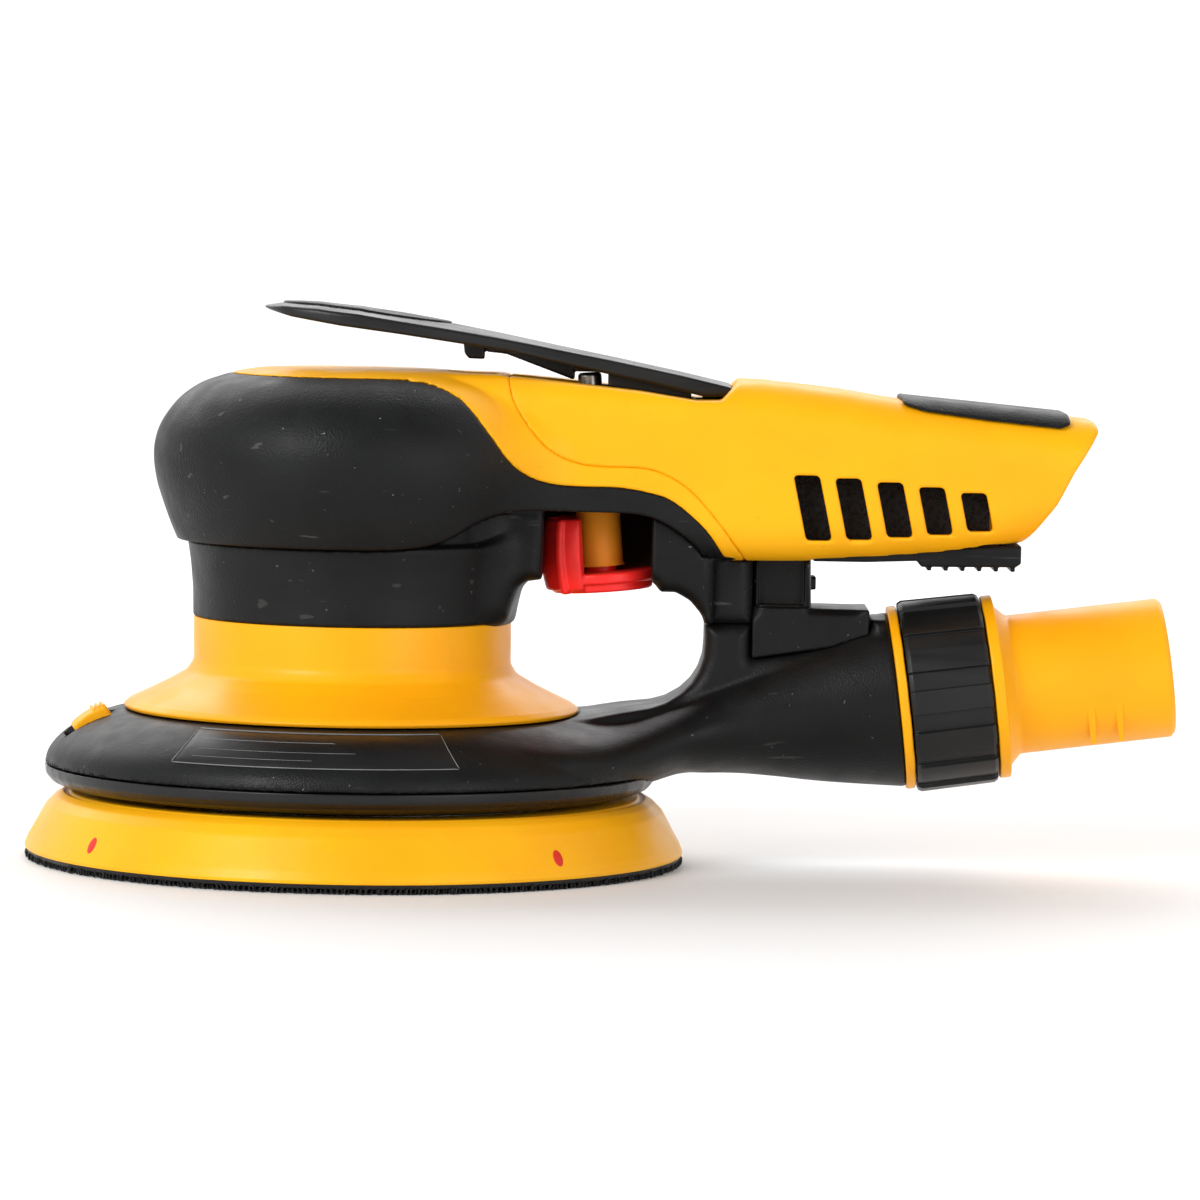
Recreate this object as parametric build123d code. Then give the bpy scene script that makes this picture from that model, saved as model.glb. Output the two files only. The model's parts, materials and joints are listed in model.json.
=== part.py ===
"""Palm-grip pneumatic random orbital sander with a 125 mm pad and a central-vacuum dust outlet.

Millimetres. The origin is where the motor axis meets the sanding plane (the underside of the hook
face), +Z runs up the motor axis and +X points to the handle and the hose end. The vane motor turns
about the motor axis; the pad hangs on a spindle whose axis is offset by half the 5 mm orbit.
"""

from build123d import *
import math
import os

# ---------------------------------------------------------------- driving dimensions
PAD_R = 62.5                    # backing pad, 125 mm
ORBIT = 5.0                     # orbit diameter; the spindle is offset by half of it
ORBIT_ANGLE = -66.5             # where the spindle stands round the motor axis at rest
HOOK_T = 1.8                    # hook face thickness
PAD_TOP_Z = 12.6                # upper rim of the foam

NECK_R = 30.2
NECK_BOTTOM_Z = 45.8
SKIRT_R, SKIRT_Z = 33.4, 60.2   # lower edge of the palm grip
HEAD_R, HEAD_MID_Z = 38.1, 75.4
HEAD_TOP_Z = 93.1
CORE_R, CORE_TOP_Z = 29.4, 88.5
BORE_R, BORE_TOP_Z = 24.0, 84.5
SPIGOT_R, SPIGOT_Z = 27.0, 38.6

SHELL_T = 2.6                   # wall of the handle mouldings
HANDLE_W = 18.0                 # half the handle's width

SWIVEL_AT = (103.65, 0, 32.15)  # centre of the duct's end face
SWIVEL_TILT = 7.5
DUCT_END_R = 16.6
SPIGOT_TUBE_R, SPIGOT_TUBE_WALL = 13.25, 2.0
TUBE_END_U = 52.0               # end of the hose spigot, along the swivel axis

VALVE_AT = (46.85, 0, 60.0)     # a point on the valve axis
VALVE_TILT = 4.5
STEM_R = 2.25
SLEEVE_R, SLEEVE_BORE_R = 4.2, 2.9
POCKET_R = 12.0                 # space for the speed control to turn in
POCKET_X = (35.6, 56.8)         # the pocket's open front, on the near side of the tool
POCKET_WALL = (34.0, 58.0, 9.0, 14.8, 53.9, 68.0)       # closes the pocket on the far side
INLET_AT = (128.0, 0, 74.6)     # mouth of the air inlet
INLET_TILT = 3.5
THREAD_R = 5.72                 # minor radius of the 1/4 inch female thread
TUBE_R, AIR_BORE_R = 8.4, 4.0
BUSH_R, BUSH_LENGTH = 6.9, 14.0

LEVER_PIVOT = (68.5, 85.6)      # X, Z of the lever's pin
PIN_R, PIN_HALF = 1.5, 8.0
LUG_R, LUG_HALF = 2.6, 3.1
RUNNING = 0.03                  # radial clearance of a shaft in its bore
GAP = 0.3                       # clearance between bodies that move past each other

# ---------------------------------------------------------------- helpers
ECC = (
    ORBIT / 2 * math.cos(math.radians(ORBIT_ANGLE)),
    ORBIT / 2 * math.sin(math.radians(ORBIT_ANGLE)),
)
AT_SPINDLE = Location((ECC[0], ECC[1], 0))


def axis_plane(at, tilt, up):
    """Plane whose z axis is the +Z (up) or +X direction turned by tilt about Y, in the XZ plane."""
    a = math.radians(tilt)
    if up:
        return Plane(origin=at, x_dir=(math.cos(a), 0, math.sin(a)), z_dir=(-math.sin(a), 0, math.cos(a)))
    return Plane(origin=at, x_dir=(0, 1, 0), z_dir=(math.cos(a), 0, math.sin(a)))


VALVE = axis_plane(VALVE_AT, VALVE_TILT, True).location
SWIVEL = axis_plane(SWIVEL_AT, SWIVEL_TILT, False).location
INLET = axis_plane(INLET_AT, -INLET_TILT, False).location


def disc(r, z0, z1, hole=0.0):
    """Cylinder or ring about Z from z0 to z1."""
    solid = Pos(0, 0, (z0 + z1) / 2) * Cylinder(r, z1 - z0)
    if hole:
        solid -= Pos(0, 0, (z0 + z1) / 2) * Cylinder(hole, z1 - z0 + 1)
    return solid


def block(x0, x1, y0, y1, z0, z1):
    """Box between two corners."""
    return Pos((x0 + x1) / 2, (y0 + y1) / 2, (z0 + z1) / 2) * Box(x1 - x0, y1 - y0, z1 - z0)


def turned(points):
    """Solid of revolution about Z from a closed outline of (radius, z) points."""
    return revolve(Plane.XZ * make_face(Polyline(*points, close=True)), Axis.Z, 360)


def turned_curve(curve, *points):
    """Solid of revolution whose outline is a spline through curve, closed by straight lines through points."""
    return revolve(Plane.XZ * make_face([Spline(*curve), Polyline(curve[-1], *points, curve[0])]), Axis.Z, 360)


def side_prism(edges, half_width):
    """Outline in the XZ plane, pulled out to both sides."""
    return extrude(Plane.XZ * make_face(edges), half_width, both=True)


def side_poly(points, half_width):
    return side_prism(Polyline(*points, close=True), half_width)


def ring_of(solid, count, radius, phase=0.0):
    """Copies of a solid on a circle about Z, as one group."""
    return Compound(
        [s for i in range(count) for s in (Rot(0, 0, phase + 360 / count * i) * Pos(radius, 0, 0) * solid).solids()]
    )


def one(shape):
    """The largest solid of a result, where a cut may leave crumbs."""
    return max(shape.solids(), key=lambda s: s.volume)


# ---------------------------------------------------------------- parting lines, in the XZ plane
# Between the front band and the rear handle cover.
COVER_SEAM = [(28.9, 93.6), (30.0, 88.4), (32.9, 83.4), (37.6, 78.6), (43.1, 76.3), (48.5, 76.0),
              (53.9, 75.9), (59.6, 74.4), (66.6, 68.7), (75.6, 56.8)]
# Between the yellow band and the black grip.
BAND_SEAM = [(-25.0, 91.9), (-9.0, 91.8), (5.0, 91.8), (11.7, 91.7), (16.7, 90.5), (21.0, 88.1), (25.8, 82.4),
             (29.5, 77.2), (33.1, 74.2), (37.4, 72.6), (43.0, 72.2), (50.0, 72.2), (55.5, 71.5), (61.5, 69.2),
             (66.7, 64.3), (71.4, 57.4)]
# Lower edge of the grip: the skirt round the head, then under the handle.
SKIRT_SEAM = [(4.0, 60.2), (10.1, 60.6), (15.1, 61.3), (19.2, 62.9), (23.4, 65.3), (27.5, 66.9), (32.5, 67.5)]
UNDER_Z = 67.4
LEG_X, LEG_BACK_X, LEG_BOTTOM_Z = 66.9, 75.8, 46.3
LEG_HALF = 10.0

# The head's outline as it is turned about Z.
HEAD_SIDE = [(SKIRT_R, SKIRT_Z), (35.4, 65.0), (37.2, 70.4), (HEAD_R, HEAD_MID_Z), (37.8, 79.6),
             (36.2, 83.6), (33.5, 87.0), (29.7, 89.8), (25.0, 91.7), (20.0, HEAD_TOP_Z - 0.2)]

# X, bottom Z, top Z, half width and corner radius of the handle's sections.
HANDLE_SECTIONS = [
    (4.0, 59.0, 92.9, 17.2, 5.0),
    (28.0, 59.0, 92.4, 17.4, 6.0),
    (74.0, 58.3, 92.2, HANDLE_W, 7.5),
    (106.0, 59.5, 89.0, HANDLE_W - 0.2, 8.5),
    (145.0, 65.5, 85.0, 15.4, 8.0),
]
REAR_CUT = [(126.2, 55.0), (126.8, 61.7), (133.6, 70.3), (138.6, 79.0), (141.0, 83.6), (140.0, 90.0),
            (160.0, 90.0), (160.0, 55.0)]


def handle_loft(inset):
    """The handle's outer form, or the space inside its wall."""
    faces = []
    for x, z0, z1, w, r in HANDLE_SECTIONS:
        plane = Plane(origin=(x, 0, (z0 + z1) / 2), x_dir=(0, 1, 0), z_dir=(1, 0, 0))
        faces.append(plane * RectangleRounded(2 * (w - inset), z1 - z0 - 2 * inset, r - inset))
    return loft(faces)


HEAD_SOLID = turned_curve(HEAD_SIDE, (0, HEAD_TOP_Z - 0.2), (0, SKIRT_Z))
HANDLE_OUT = handle_loft(0.0)
HANDLE_IN = handle_loft(SHELL_T)
UPPER = HEAD_SOLID + HANDLE_OUT - side_poly(REAR_CUT, 40)
# The lever's bed: the top falls towards the pivot, with a deeper well for the rib and the stem.
LEVER_BED = side_poly([(26.0, 96.0), (28.4, 92.3), (38.8, 91.3), (53.8, 89.9), (64.5, 88.2), (70.6, 88.6),
                       (73.4, 92.0), (73.4, 96.0)], 40)
STEM_WELL = block(28.6, 64.2, -6.7, 6.7, 86.6, 96.0)
TAB_WELL = block(17.5, 27.0, -3.6, 3.6, 90.0, 96.0)
LUG_SLOT = block(65.0, 72.0, -LUG_HALF - GAP, LUG_HALF + GAP, LEVER_PIVOT[1] - LUG_R - GAP, 96.0)
CORE = disc(CORE_R, NECK_BOTTOM_Z, CORE_TOP_Z)


def band_mask():
    low = Spline(*BAND_SEAM)
    high = Spline(*COVER_SEAM)
    rim = Polyline(COVER_SEAM[0], (28.9, 99.0), (-40.0, 99.0), (-40.0, 91.9), BAND_SEAM[0])
    return side_prism([low, high, rim, Line(BAND_SEAM[-1], COVER_SEAM[-1])], 45)


def cover_mask():
    return side_prism([Spline(*COVER_SEAM), Polyline(COVER_SEAM[-1], (75.6, 50.0), (150.0, 50.0), (150.0, 99.0),
                                                    (28.9, 99.0), COVER_SEAM[0])], 45)


def grip_mask():
    edge = [Spline(*BAND_SEAM), Spline(*SKIRT_SEAM)]
    low = Polyline(SKIRT_SEAM[-1], (34.0, UNDER_Z), (53.3, UNDER_Z), (57.9, 66.1), (61.5, 64.1), (65.6, 61.5),
                   (LEG_X, 57.4), BAND_SEAM[-1])
    left = Polyline(SKIRT_SEAM[0], (-45.0, 60.2), (-45.0, 91.9), BAND_SEAM[0])
    return side_prism([*edge, low, left], 45)


# ---------------------------------------------------------------- housing
def palm_grip():
    """Soft black grip: a thick cap round the head, a band under each side of the handle, and the leg."""
    body = (UPPER & grip_mask()) - CORE - HANDLE_IN
    leg = side_poly([(LEG_X, 60.5), (LEG_X, LEG_BOTTOM_Z), (LEG_BACK_X, LEG_BOTTOM_Z), (LEG_BACK_X, 57.0),
                     (73.4, 60.5)], LEG_HALF)
    leg = fillet(leg.edges().filter_by(Axis.Z), 2.0)
    leg = leg - cover_mask() - band_mask() - HANDLE_IN
    return one(body + leg)


def top_band():
    """Yellow strip from the head's flat top down the handle's sides."""
    return one((UPPER & band_mask()) - LEVER_BED - TAB_WELL - STEM_WELL - CORE - HANDLE_IN)


# X, Z and height of each vent.
VENTS = [(86.6, 68.9, 12.0), (94.3, 68.8, 11.3), (102.0, 68.8, 10.1), (109.7, 68.7, 8.7), (117.4, 68.6, 7.0)]
VENT_W, VENT_LEAN = 4.5, 12.0
GRILLE_SLOT = block(86.8, 126.6, -12.2, 12.2, 50.0, 62.4)


def handle_cover():
    """Yellow rear shell, open at its slanted end, with five leaning vents on each side."""
    body = (UPPER & cover_mask()) - HANDLE_IN - LEVER_BED - STEM_WELL - LUG_SLOT - GRILLE_SLOT
    for x, z, height in VENTS:
        vent = extrude(Plane.XZ * RectangleRounded(VENT_W, height, 0.6), 30, both=True)
        body -= Pos(x, 0, z) * Rot(0, -VENT_LEAN, 0) * vent
    body -= Pos(BRACKET_SCREW_X, 0, 60) * Cylinder(BRACKET_SCREW_R, 10)
    return one(body)


STRIP_PROUD = 0.9


def rear_grip_pad():
    """Black rubber strip over the top of the cover's rear, about one millimetre proud."""
    mask = side_poly([(103.4, 95.0), (103.0, 88.6), (107.3, 87.2), (119.5, 85.8), (133.5, 84.4), (134.9, 85.4),
                      (135.3, 95.0)], 45)
    return one((handle_loft(-STRIP_PROUD) - UPPER) & mask)


def exhaust_grille():
    """Ribbed black plate in the cover's underside."""
    plate = side_poly([(87.0, 58.8), (106.0, 59.2), (108.0, 58.0), (125.4, 58.4), (126.2, 62.2), (106.0, 61.4),
                       (87.0, 61.0)], 12.0)
    pitch, first = 3.2, 108.9
    for i in range(6):
        rib_x = first + pitch * i
        plate += block(rib_x - 0.4, rib_x + 0.4, -11.6, 11.6, 57.4, 59.2)
    for i in range(5):
        slot_x = first + pitch * (i + 0.5)
        plate -= block(slot_x - 0.8, slot_x + 0.8, -10.0, 10.0, 50, 70)
    return one(plate)


def muffler_foam():
    """Porous trough that the exhaust passes through, behind the vents and over the grille."""
    trough = block(82.0, 120.0, -12.9, 12.9, 62.8, 76.5) - block(80.0, 122.0, -11.0, 11.0, 64.6, 80.0)
    return one((trough - block(80.0, 86.6, -11.0, 11.0, 60.0, 70.0)) & HANDLE_IN)


NECK_SIDE = [(NECK_R, NECK_BOTTOM_Z), (NECK_R + 0.1, 51.0), (NECK_R + 0.5, 56.0), (31.2, SKIRT_Z)]


def motor_housing(skins):
    """Black core of the tool: motor barrel, handle core, valve block, and the air tube to the inlet."""
    barrel = turned([(0, NECK_BOTTOM_Z), *NECK_SIDE, (CORE_R, SKIRT_Z), (CORE_R, CORE_TOP_Z), (0, CORE_TOP_Z)])
    barrel += disc(SPIGOT_R, SPIGOT_Z, NECK_BOTTOM_Z)
    beam = (HANDLE_IN & block(0, 75.4, -40, 40, UNDER_Z, 120)) - LEVER_BED
    front = side_poly([(24.0, 68.0), (24.0, 50.0), (30.2, 50.0), (31.0, 52.6), (32.8, 53.6), (35.6, 54.2),
                       (36.5, 68.0)], 14.8)
    boss = side_poly([(52.0, 68.0), (54.0, 54.0), (57.1, 53.9), (58.6, 52.4), (61.2, 52.2), (63.9, 50.7),
                      (66.1, 48.2), (LEG_X, LEG_BOTTOM_Z), (LEG_X, 61.0), (73.0, 61.0), (73.0, 68.0)], 14.8)
    body = barrel + beam + front + boss + block(*POCKET_WALL)
    body -= VALVE * disc(POCKET_R, -25.0, (UNDER_Z - VALVE_AT[2]))
    body -= block(POCKET_X[0], POCKET_X[1], -POCKET_R - 8, 0, 40, UNDER_Z)
    body += INLET * disc(TUBE_R, -62.0, -4.0)
    body -= INLET * disc(AIR_BORE_R, -80.0, 5.0)
    body -= INLET * disc(BUSH_R, -BUSH_LENGTH - 5.0, 5.0)
    body -= disc(BORE_R, 0, BORE_TOP_Z)
    body = body - STEM_WELL - TAB_WELL - LUG_SLOT
    for skin in skins:
        body -= skin
    body -= VALVE * disc(SLEEVE_R, -20, SLEEVE_TOP)
    body -= VALVE * disc(STEM_R + RUNNING, 0, 60)
    body -= FEED_PASSAGE
    body -= lever_pin()
    return one(body)


SLEEVE_BOTTOM, SLEEVE_TOP = -3.6, 25.4      # along the valve axis, from VALVE_AT
SEAT_U = 20.0
FEED_PASSAGE = Pos(33.0, 0, 81.0) * Rot(0, 80, 0) * Cylinder(2.4, 25.0)


def lower_ring():
    """Yellow clamp ring under the neck, flaring out over the dust shroud."""
    return turned([(NECK_R, NECK_BOTTOM_Z), (NECK_R, 37.6), (31.2, 35.6), (35.0, 33.3), (38.8, 31.3), (42.6, 29.5),
                   (43.2, 28.9), (42.8, 28.2), (39.6, 28.0), (36.0, 30.2), (32.0, 32.6), (28.6, 34.8),
                   (SPIGOT_R, 37.0), (SPIGOT_R, NECK_BOTTOM_Z)])


# ---------------------------------------------------------------- dust shroud and duct
SHROUD_SIDE = [(42.9, 27.9), (46.0, 27.4), (49.6, 26.2), (52.8, 24.5), (55.6, 22.3), (57.3, 20.0), (58.0, 17.6)]
SHROUD_INSIDE = [(55.8, 17.6), (55.2, 19.4), (53.4, 21.4), (50.6, 23.2), (46.0, 25.2), (33.0, 25.4), (33.0, 27.5)]
ROOM_R, ROOM_TOP_Z = 50.0, 25.3         # the space over the pad, kept clear of the duct and the upstand
SHROUD_EYE_R = 33.0
# X, centre Z, half height and half width of the duct between the shroud and its round end.
DUCT_SECTIONS = [(38.0, 21.9, 6.2, 39.0), (50.0, 21.2, 7.0, 31.0), (62.0, 24.2, 7.1, 20.5), (75.0, 27.7, 10.4, 15.9),
                 (88.0, 29.9, 13.8, 15.6)]
DUCT_WALL = 2.2
NOSE_R, NOSE_BORE_R, NOSE_LENGTH = 14.0, 11.2, 12.0
LIP_R, LIP_Z = 58.0, 17.6       # where the shroud's skin meets its soft lip


def duct_loft(inset):
    faces = []
    for x, z, h, w in DUCT_SECTIONS:
        plane = Plane(origin=(x, 0, z), x_dir=(0, 1, 0), z_dir=(1, 0, 0))
        faces.append(plane * Ellipse(w - inset, h - inset))
    faces.append(SWIVEL * Circle(DUCT_END_R - inset))
    return loft(faces)


def duct_form():
    """Duct's outer form, clear of the soft lip under the shroud."""
    return duct_loft(0.0) - disc(LIP_R + GAP, 0, LIP_Z)


LATCH_SIZE = (7.4, 7.8, 2.4)
LATCH_TRAVEL = 1.6
LATCH = Pos(-49.6, -8.0, 25.6) * Rot(0, 0, 9.2) * Rot(0, -32.0, 0)


def dust_shroud():
    """Black shroud round the pad with the dust duct and the upstand that carries the handle's leg."""
    skin = turned_curve(SHROUD_SIDE, *SHROUD_INSIDE)
    spine = side_poly([(50.0, 24.0), (42.6, 27.4), (51.2, 29.4), (56.9, 30.1), (59.7, 31.2), (62.5, 32.9),
                       (64.6, 35.0), (65.9, 37.2), (66.7, 39.8), (LEG_X, 42.6), (LEG_X, LEG_BOTTOM_Z),
                       (LEG_BACK_X, LEG_BOTTOM_Z), (LEG_BACK_X, 39.8), (97.8, 43.2), (99.6, 43.2), (99.6, 26.0)],
                      LEG_HALF)
    body = skin + (duct_form() + spine - disc(43.5, 27.9, 60))
    body -= duct_loft(DUCT_WALL) & block(49.5, 120, -40, 40, 0, 80)
    body -= disc(ROOM_R, 0, ROOM_TOP_Z) + disc(SHROUD_EYE_R, 0, 60)
    nose = disc(NOSE_R, -4.0, NOSE_LENGTH) + ring_of(Pos(0.4, 0, 6.5) * Box(1.8, 6.0, 2.4), 3, NOSE_R)
    body = body + SWIVEL * nose - SWIVEL * disc(NOSE_BORE_R, -10.0, NOSE_LENGTH + 1)
    pocket = Box(LATCH_SIZE[0] + 2 * LATCH_TRAVEL + 2 * GAP, LATCH_SIZE[1] + 2 * GAP, 2.6)
    return one(body - LATCH * pocket)


def shroud_latch():
    """Yellow catch that slides down the shroud's slope."""
    plate = Pos(LATCH_TRAVEL / 2, 0, 0.4) * Box(*LATCH_SIZE)
    for i in range(3):
        plate += Pos(LATCH_TRAVEL / 2 + 1.6 * (i - 1), 0, 1.7) * Box(0.6, 7.0, 0.8)
    return LATCH * plate


def shroud_lip():
    """Soft lip round the shroud's lower edge."""
    return turned([(LIP_R, LIP_Z), (57.9, 15.8), (56.9, 14.5), (55.0, 13.7), (52.8, 13.3), (52.4, 13.8), (54.4, 14.8),
                   (55.4, 16.0), (55.8, LIP_Z)])


def brake_seal():
    """Rubber ring that rides just above the pad and stops it spinning up."""
    clear = PAD_TOP_Z + GAP
    ring = turned([(51.4, 21.0), (51.4, 14.4), (50.4, clear), (49.2, clear), (49.6, 14.4), (49.6, 24.0), (50.0, 24.0),
                   (50.0, 21.6)])
    return one(ring - duct_form())


def name_plate():
    """Blank plate let on to the shroud's front."""
    proud = [(r + 0.35, z + 0.3) for r, z in SHROUD_SIDE]
    band = turned_curve(proud, (40.0, 17.9), (40.0, 28.2)) - turned_curve(SHROUD_SIDE, (40.0, 17.6), (40.0, 27.9))
    window = side_poly([(-26.4, 27.6), (18.2, 27.6), (22.2, 21.8), (-31.3, 21.8)], 80) & block(-60, 60, -80, 0, 0, 60)
    return one(band & window)


BRACKET_SCREW_X, BRACKET_SCREW_R = 81.5, 2.0


def duct_bracket():
    """Clip between the duct and the handle's underside."""
    top = side_poly([(LEG_BACK_X + 0.1, 39.9), (97.8, 43.3), (97.9, 49.4), (LEG_BACK_X + 0.1, 49.4)], LEG_HALF - 1)
    top = fillet(top.edges().filter_by(Axis.X).group_by(Axis.Z)[-1], 2.5)
    body = top + block(LEG_BACK_X + 0.1, 87.0, -8.0, 8.0, 48.0, 58.6) + block(87.0, 87.9, -2.5, 2.5, 52.6, 55.2)
    body -= duct_loft(0.0)
    body -= Pos(BRACKET_SCREW_X, 0, 54.5) * Cylinder(BRACKET_SCREW_R, 11)
    return one(body - HANDLE_OUT)


def bracket_screw():
    """Screw from inside the cover down into the bracket."""
    return Pos(BRACKET_SCREW_X, 0, 0) * (disc(BRACKET_SCREW_R, 49.2, 61.3) + disc(3.6, 61.3, 63.4))


# ---------------------------------------------------------------- hose fitting, along the swivel axis
def hose_seat():
    """Yellow thrust ring fixed on the duct's nose."""
    return SWIVEL * disc(17.4, 0.0, 1.9, NOSE_R)


def hose_seal():
    """Rubber ring on the nose's end."""
    return SWIVEL * disc(NOSE_R - 0.3, NOSE_LENGTH, NOSE_LENGTH + 0.7, NOSE_BORE_R + 0.4)


COLLAR_RIBS = 14
COLLAR_END = 17.6


def hose_collar():
    """Black ribbed lock ring that holds the spigot against the nose."""
    body = turned([(15.6, 2.2), (17.8, 2.2), (17.5, COLLAR_END), (13.6, COLLAR_END), (13.6, 15.4), (15.6, 15.4)])
    body += ring_of(Pos(0, 0, 9.9) * Box(1.0, 6.4, 15.4), COLLAR_RIBS, 17.5)
    return SWIVEL * one(body - disc(15.6, -1, 15.4))


def hose_spigot():
    """Yellow tube that the vacuum hose pushes on to, with its flange and inner sleeve."""
    r = SPIGOT_TUBE_R
    bore = r - SPIGOT_TUBE_WALL
    body = turned([(bore, 13.0), (15.2, 13.0), (15.2, 15.0), (13.3, 15.0), (13.3, 18.0), (17.4, 18.0), (17.4, 20.1),
                   (15.6, 20.1), (r, 22.4), (r, TUBE_END_U - 1.0), (r - 1.0, TUBE_END_U), (bore, TUBE_END_U)])
    for u in RIB_AT:
        body += (Rot(0, 0, RIB_ANGLE) * Pos(r, 0, u) * Box(*RIB_SIZE)) & disc(r + RIB_HEIGHT, u - 1, u + 1, bore)
    return SWIVEL * one(body)


RIB_ANGLE = -138.5
RIB_AT = (36.4, 41.6)
RIB_SIZE = (3.0, 7.5, 1.4)
RIB_HEIGHT = 0.2            # less than the clearance inside a hose's cuff


# ---------------------------------------------------------------- valve and speed control, along the valve axis
def valve_sleeve():
    """Orange sleeve that carries the valve and the speed control."""
    body = disc(SLEEVE_R, SLEEVE_BOTTOM, SLEEVE_TOP, SLEEVE_BORE_R)
    body -= Pos(4, 0, 16.0) * Box(8, 3.4, 3.4)
    body -= Pos(-4, 0, 23.4) * Box(8, 3.4, 3.0)
    return VALVE * one(body)


def valve_seat():
    """Rubber ring that the poppet closes on."""
    return VALVE * disc(SLEEVE_BORE_R, SEAT_U, SEAT_U + 1.6, STEM_R + 0.25)


STEM_TOP = 33.2


def valve_stem():
    """Steel stem from the lever down through the seat."""
    body = disc(STEM_R, SEAT_U - 0.6, STEM_TOP)
    return VALVE * fillet(body.edges().sort_by(Axis.Z)[-1:], 0.7)


def valve_poppet():
    """Rubber disc on the stem's foot, lifted against its seat by the spring."""
    return VALVE * (disc(SLEEVE_BORE_R - 0.15, SEAT_U - 2.4, SEAT_U - 0.6) +
                    disc(SLEEVE_BORE_R - 0.15, SEAT_U - 0.6, SEAT_U - 0.05, STEM_R))


SPRING_WIRE, SPRING_R, SPRING_TURNS = 0.5, 2.2, 7
SPRING_U = (-1.7, SEAT_U - 2.5)


def valve_spring():
    """Return spring under the poppet."""
    height = SPRING_U[1] - SPRING_U[0] - SPRING_WIRE
    path = Helix(pitch=height / SPRING_TURNS, height=height, radius=SPRING_R)
    wire = sweep(Plane(path @ 0, z_dir=path % 0) * Circle(SPRING_WIRE / 2), path, is_frenet=True)
    return VALVE * Pos(0, 0, SPRING_U[0] + SPRING_WIRE / 2) * wire


CONTROL_R, FINGER_R, FINGER_HALF_ANGLE = 10.0, 11.3, 70.0


def speed_control():
    """Red regulator: a cap under the valve with a finger wall round its front."""
    hub = disc(CONTROL_R, -7.4, -4.6) + disc(CONTROL_R - 1.2, -8.2, -7.4) + disc(SLEEVE_BORE_R - 0.1, -4.6, -1.9)
    hub -= disc(SLEEVE_BORE_R, -3.5, -2.7, SLEEVE_BORE_R - 0.6)
    reach = 30.0
    half = math.radians(FINGER_HALF_ANGLE)
    side = (-reach * math.cos(half), reach * math.sin(half))
    wedge = extrude(make_face(Polyline((0, 0), side, (-reach, side[1]), (-reach, -side[1]), (side[0], -side[1]),
                                       close=True)), 20, both=True)
    wall = disc(FINGER_R, -7.4, 6.0, FINGER_R - 2.2) & wedge
    body = hub + wall
    for turn in (1, -1):
        body += Rot(0, 0, 180 + turn * (FINGER_HALF_ANGLE - 18)) * Pos(FINGER_R - 0.6, 0, -0.9) * Box(1.8, 2.4, 13.0)
    return VALVE * one(body)


def speed_control_oring():
    """Seal between the regulator and the sleeve."""
    return VALVE * disc(SLEEVE_BORE_R - 0.05, -3.45, -2.75, SLEEVE_BORE_R - 0.6)


# ---------------------------------------------------------------- lever
LEVER_TOP = [(-17.0, 104.9), (-13.8, 105.4), (-7.1, 105.4), (0.5, 104.8), (15.7, 102.4), (38.5, 98.0), (61.4, 93.4),
             (70.9, 91.4)]
LEVER_LOW = [(70.0, 89.2), (66.0, 89.2), (54.4, 91.6), (41.3, 94.2), (28.3, 97.0), (8.6, 99.8), (-2.7, 101.2),
             (-12.1, 102.6), (-16.6, 103.7)]
# Half width of the lever in plan, from its rear to its tip.
LEVER_PLAN = [(70.9, 8.8), (55.0, 9.0), (38.0, 9.8), (24.0, 11.6), (12.0, 13.6), (2.0, 14.2), (-6.0, 13.2),
              (-12.5, 10.2), (-16.0, 5.6), (-17.0, 0.0)]
INLAY_PROUD = 0.5
INLAY_X, INLAY_RADII = 2.4, (15.8, 9.6)


def throttle_lever():
    """Black paddle over the head and handle, hinged at its rear."""
    slab = side_prism([Spline(*LEVER_TOP), Line(LEVER_TOP[-1], LEVER_LOW[0]), Polyline(*LEVER_LOW),
                       Line(LEVER_LOW[-1], LEVER_TOP[0])], 20)
    far_side = [(x, -y) for x, y in reversed(LEVER_PLAN[:-1])]
    plan = make_face([Spline(*LEVER_PLAN, *far_side), Line(far_side[-1], LEVER_PLAN[0])])
    body = slab & (Pos(0, 0, 80) * extrude(plan, 40))
    body -= side_poly([(24.0, 90.0), (24.0, 98.8), (60.0, 91.9), (72.0, 90.0), (72.0, 84.0), (24.0, 84.0)], 6.4)
    body += side_poly([(27.0, 99.0), (28.0, 96.5), (40.2, 92.1), (41.4, 92.1), (41.4, 96.4)], 1.5)
    body += side_poly([(20.3, 99.8), (20.8, 95.5), (24.3, 95.5), (24.2, 99.5)], 2.2)
    body += side_poly([(41.4, 96.6), (41.4, 93.4), (47.6, 93.5), (47.6, 95.2)], 6.4)
    body += side_poly([(48.2, 95.2), (48.2, 91.2), (63.0, 88.6), (63.0, 92.0)], 5.5)
    body += side_poly([(65.9, 91.0), (65.9, 85.6), (71.1, 85.6), (70.6, 90.6)], LUG_HALF)
    body += across_pivot(LUG_R, LUG_HALF)
    return one(body - across_pivot(PIN_R + RUNNING, 20))


def across_pivot(r, half):
    """Cylinder on the lever's hinge line."""
    return Pos(LEVER_PIVOT[0], 0, LEVER_PIVOT[1]) * Rot(90, 0, 0) * Cylinder(r, 2 * half)


def lever_inlay():
    """Soft oval patch let on to the lever's front."""
    raised = [(x, z + INLAY_PROUD) for x, z in LEVER_TOP]
    layer = side_prism([Spline(*raised), Line(raised[-1], LEVER_TOP[-1]), Spline(*LEVER_TOP),
                        Line(LEVER_TOP[0], raised[0])], 20)
    return one(layer & (Pos(INLAY_X, 0, 80) * extrude(Ellipse(*INLAY_RADII), 40)))


def lever_pin():
    """Steel pin held in the housing on both sides of the lever's lug."""
    return across_pivot(PIN_R, PIN_HALF)


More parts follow.
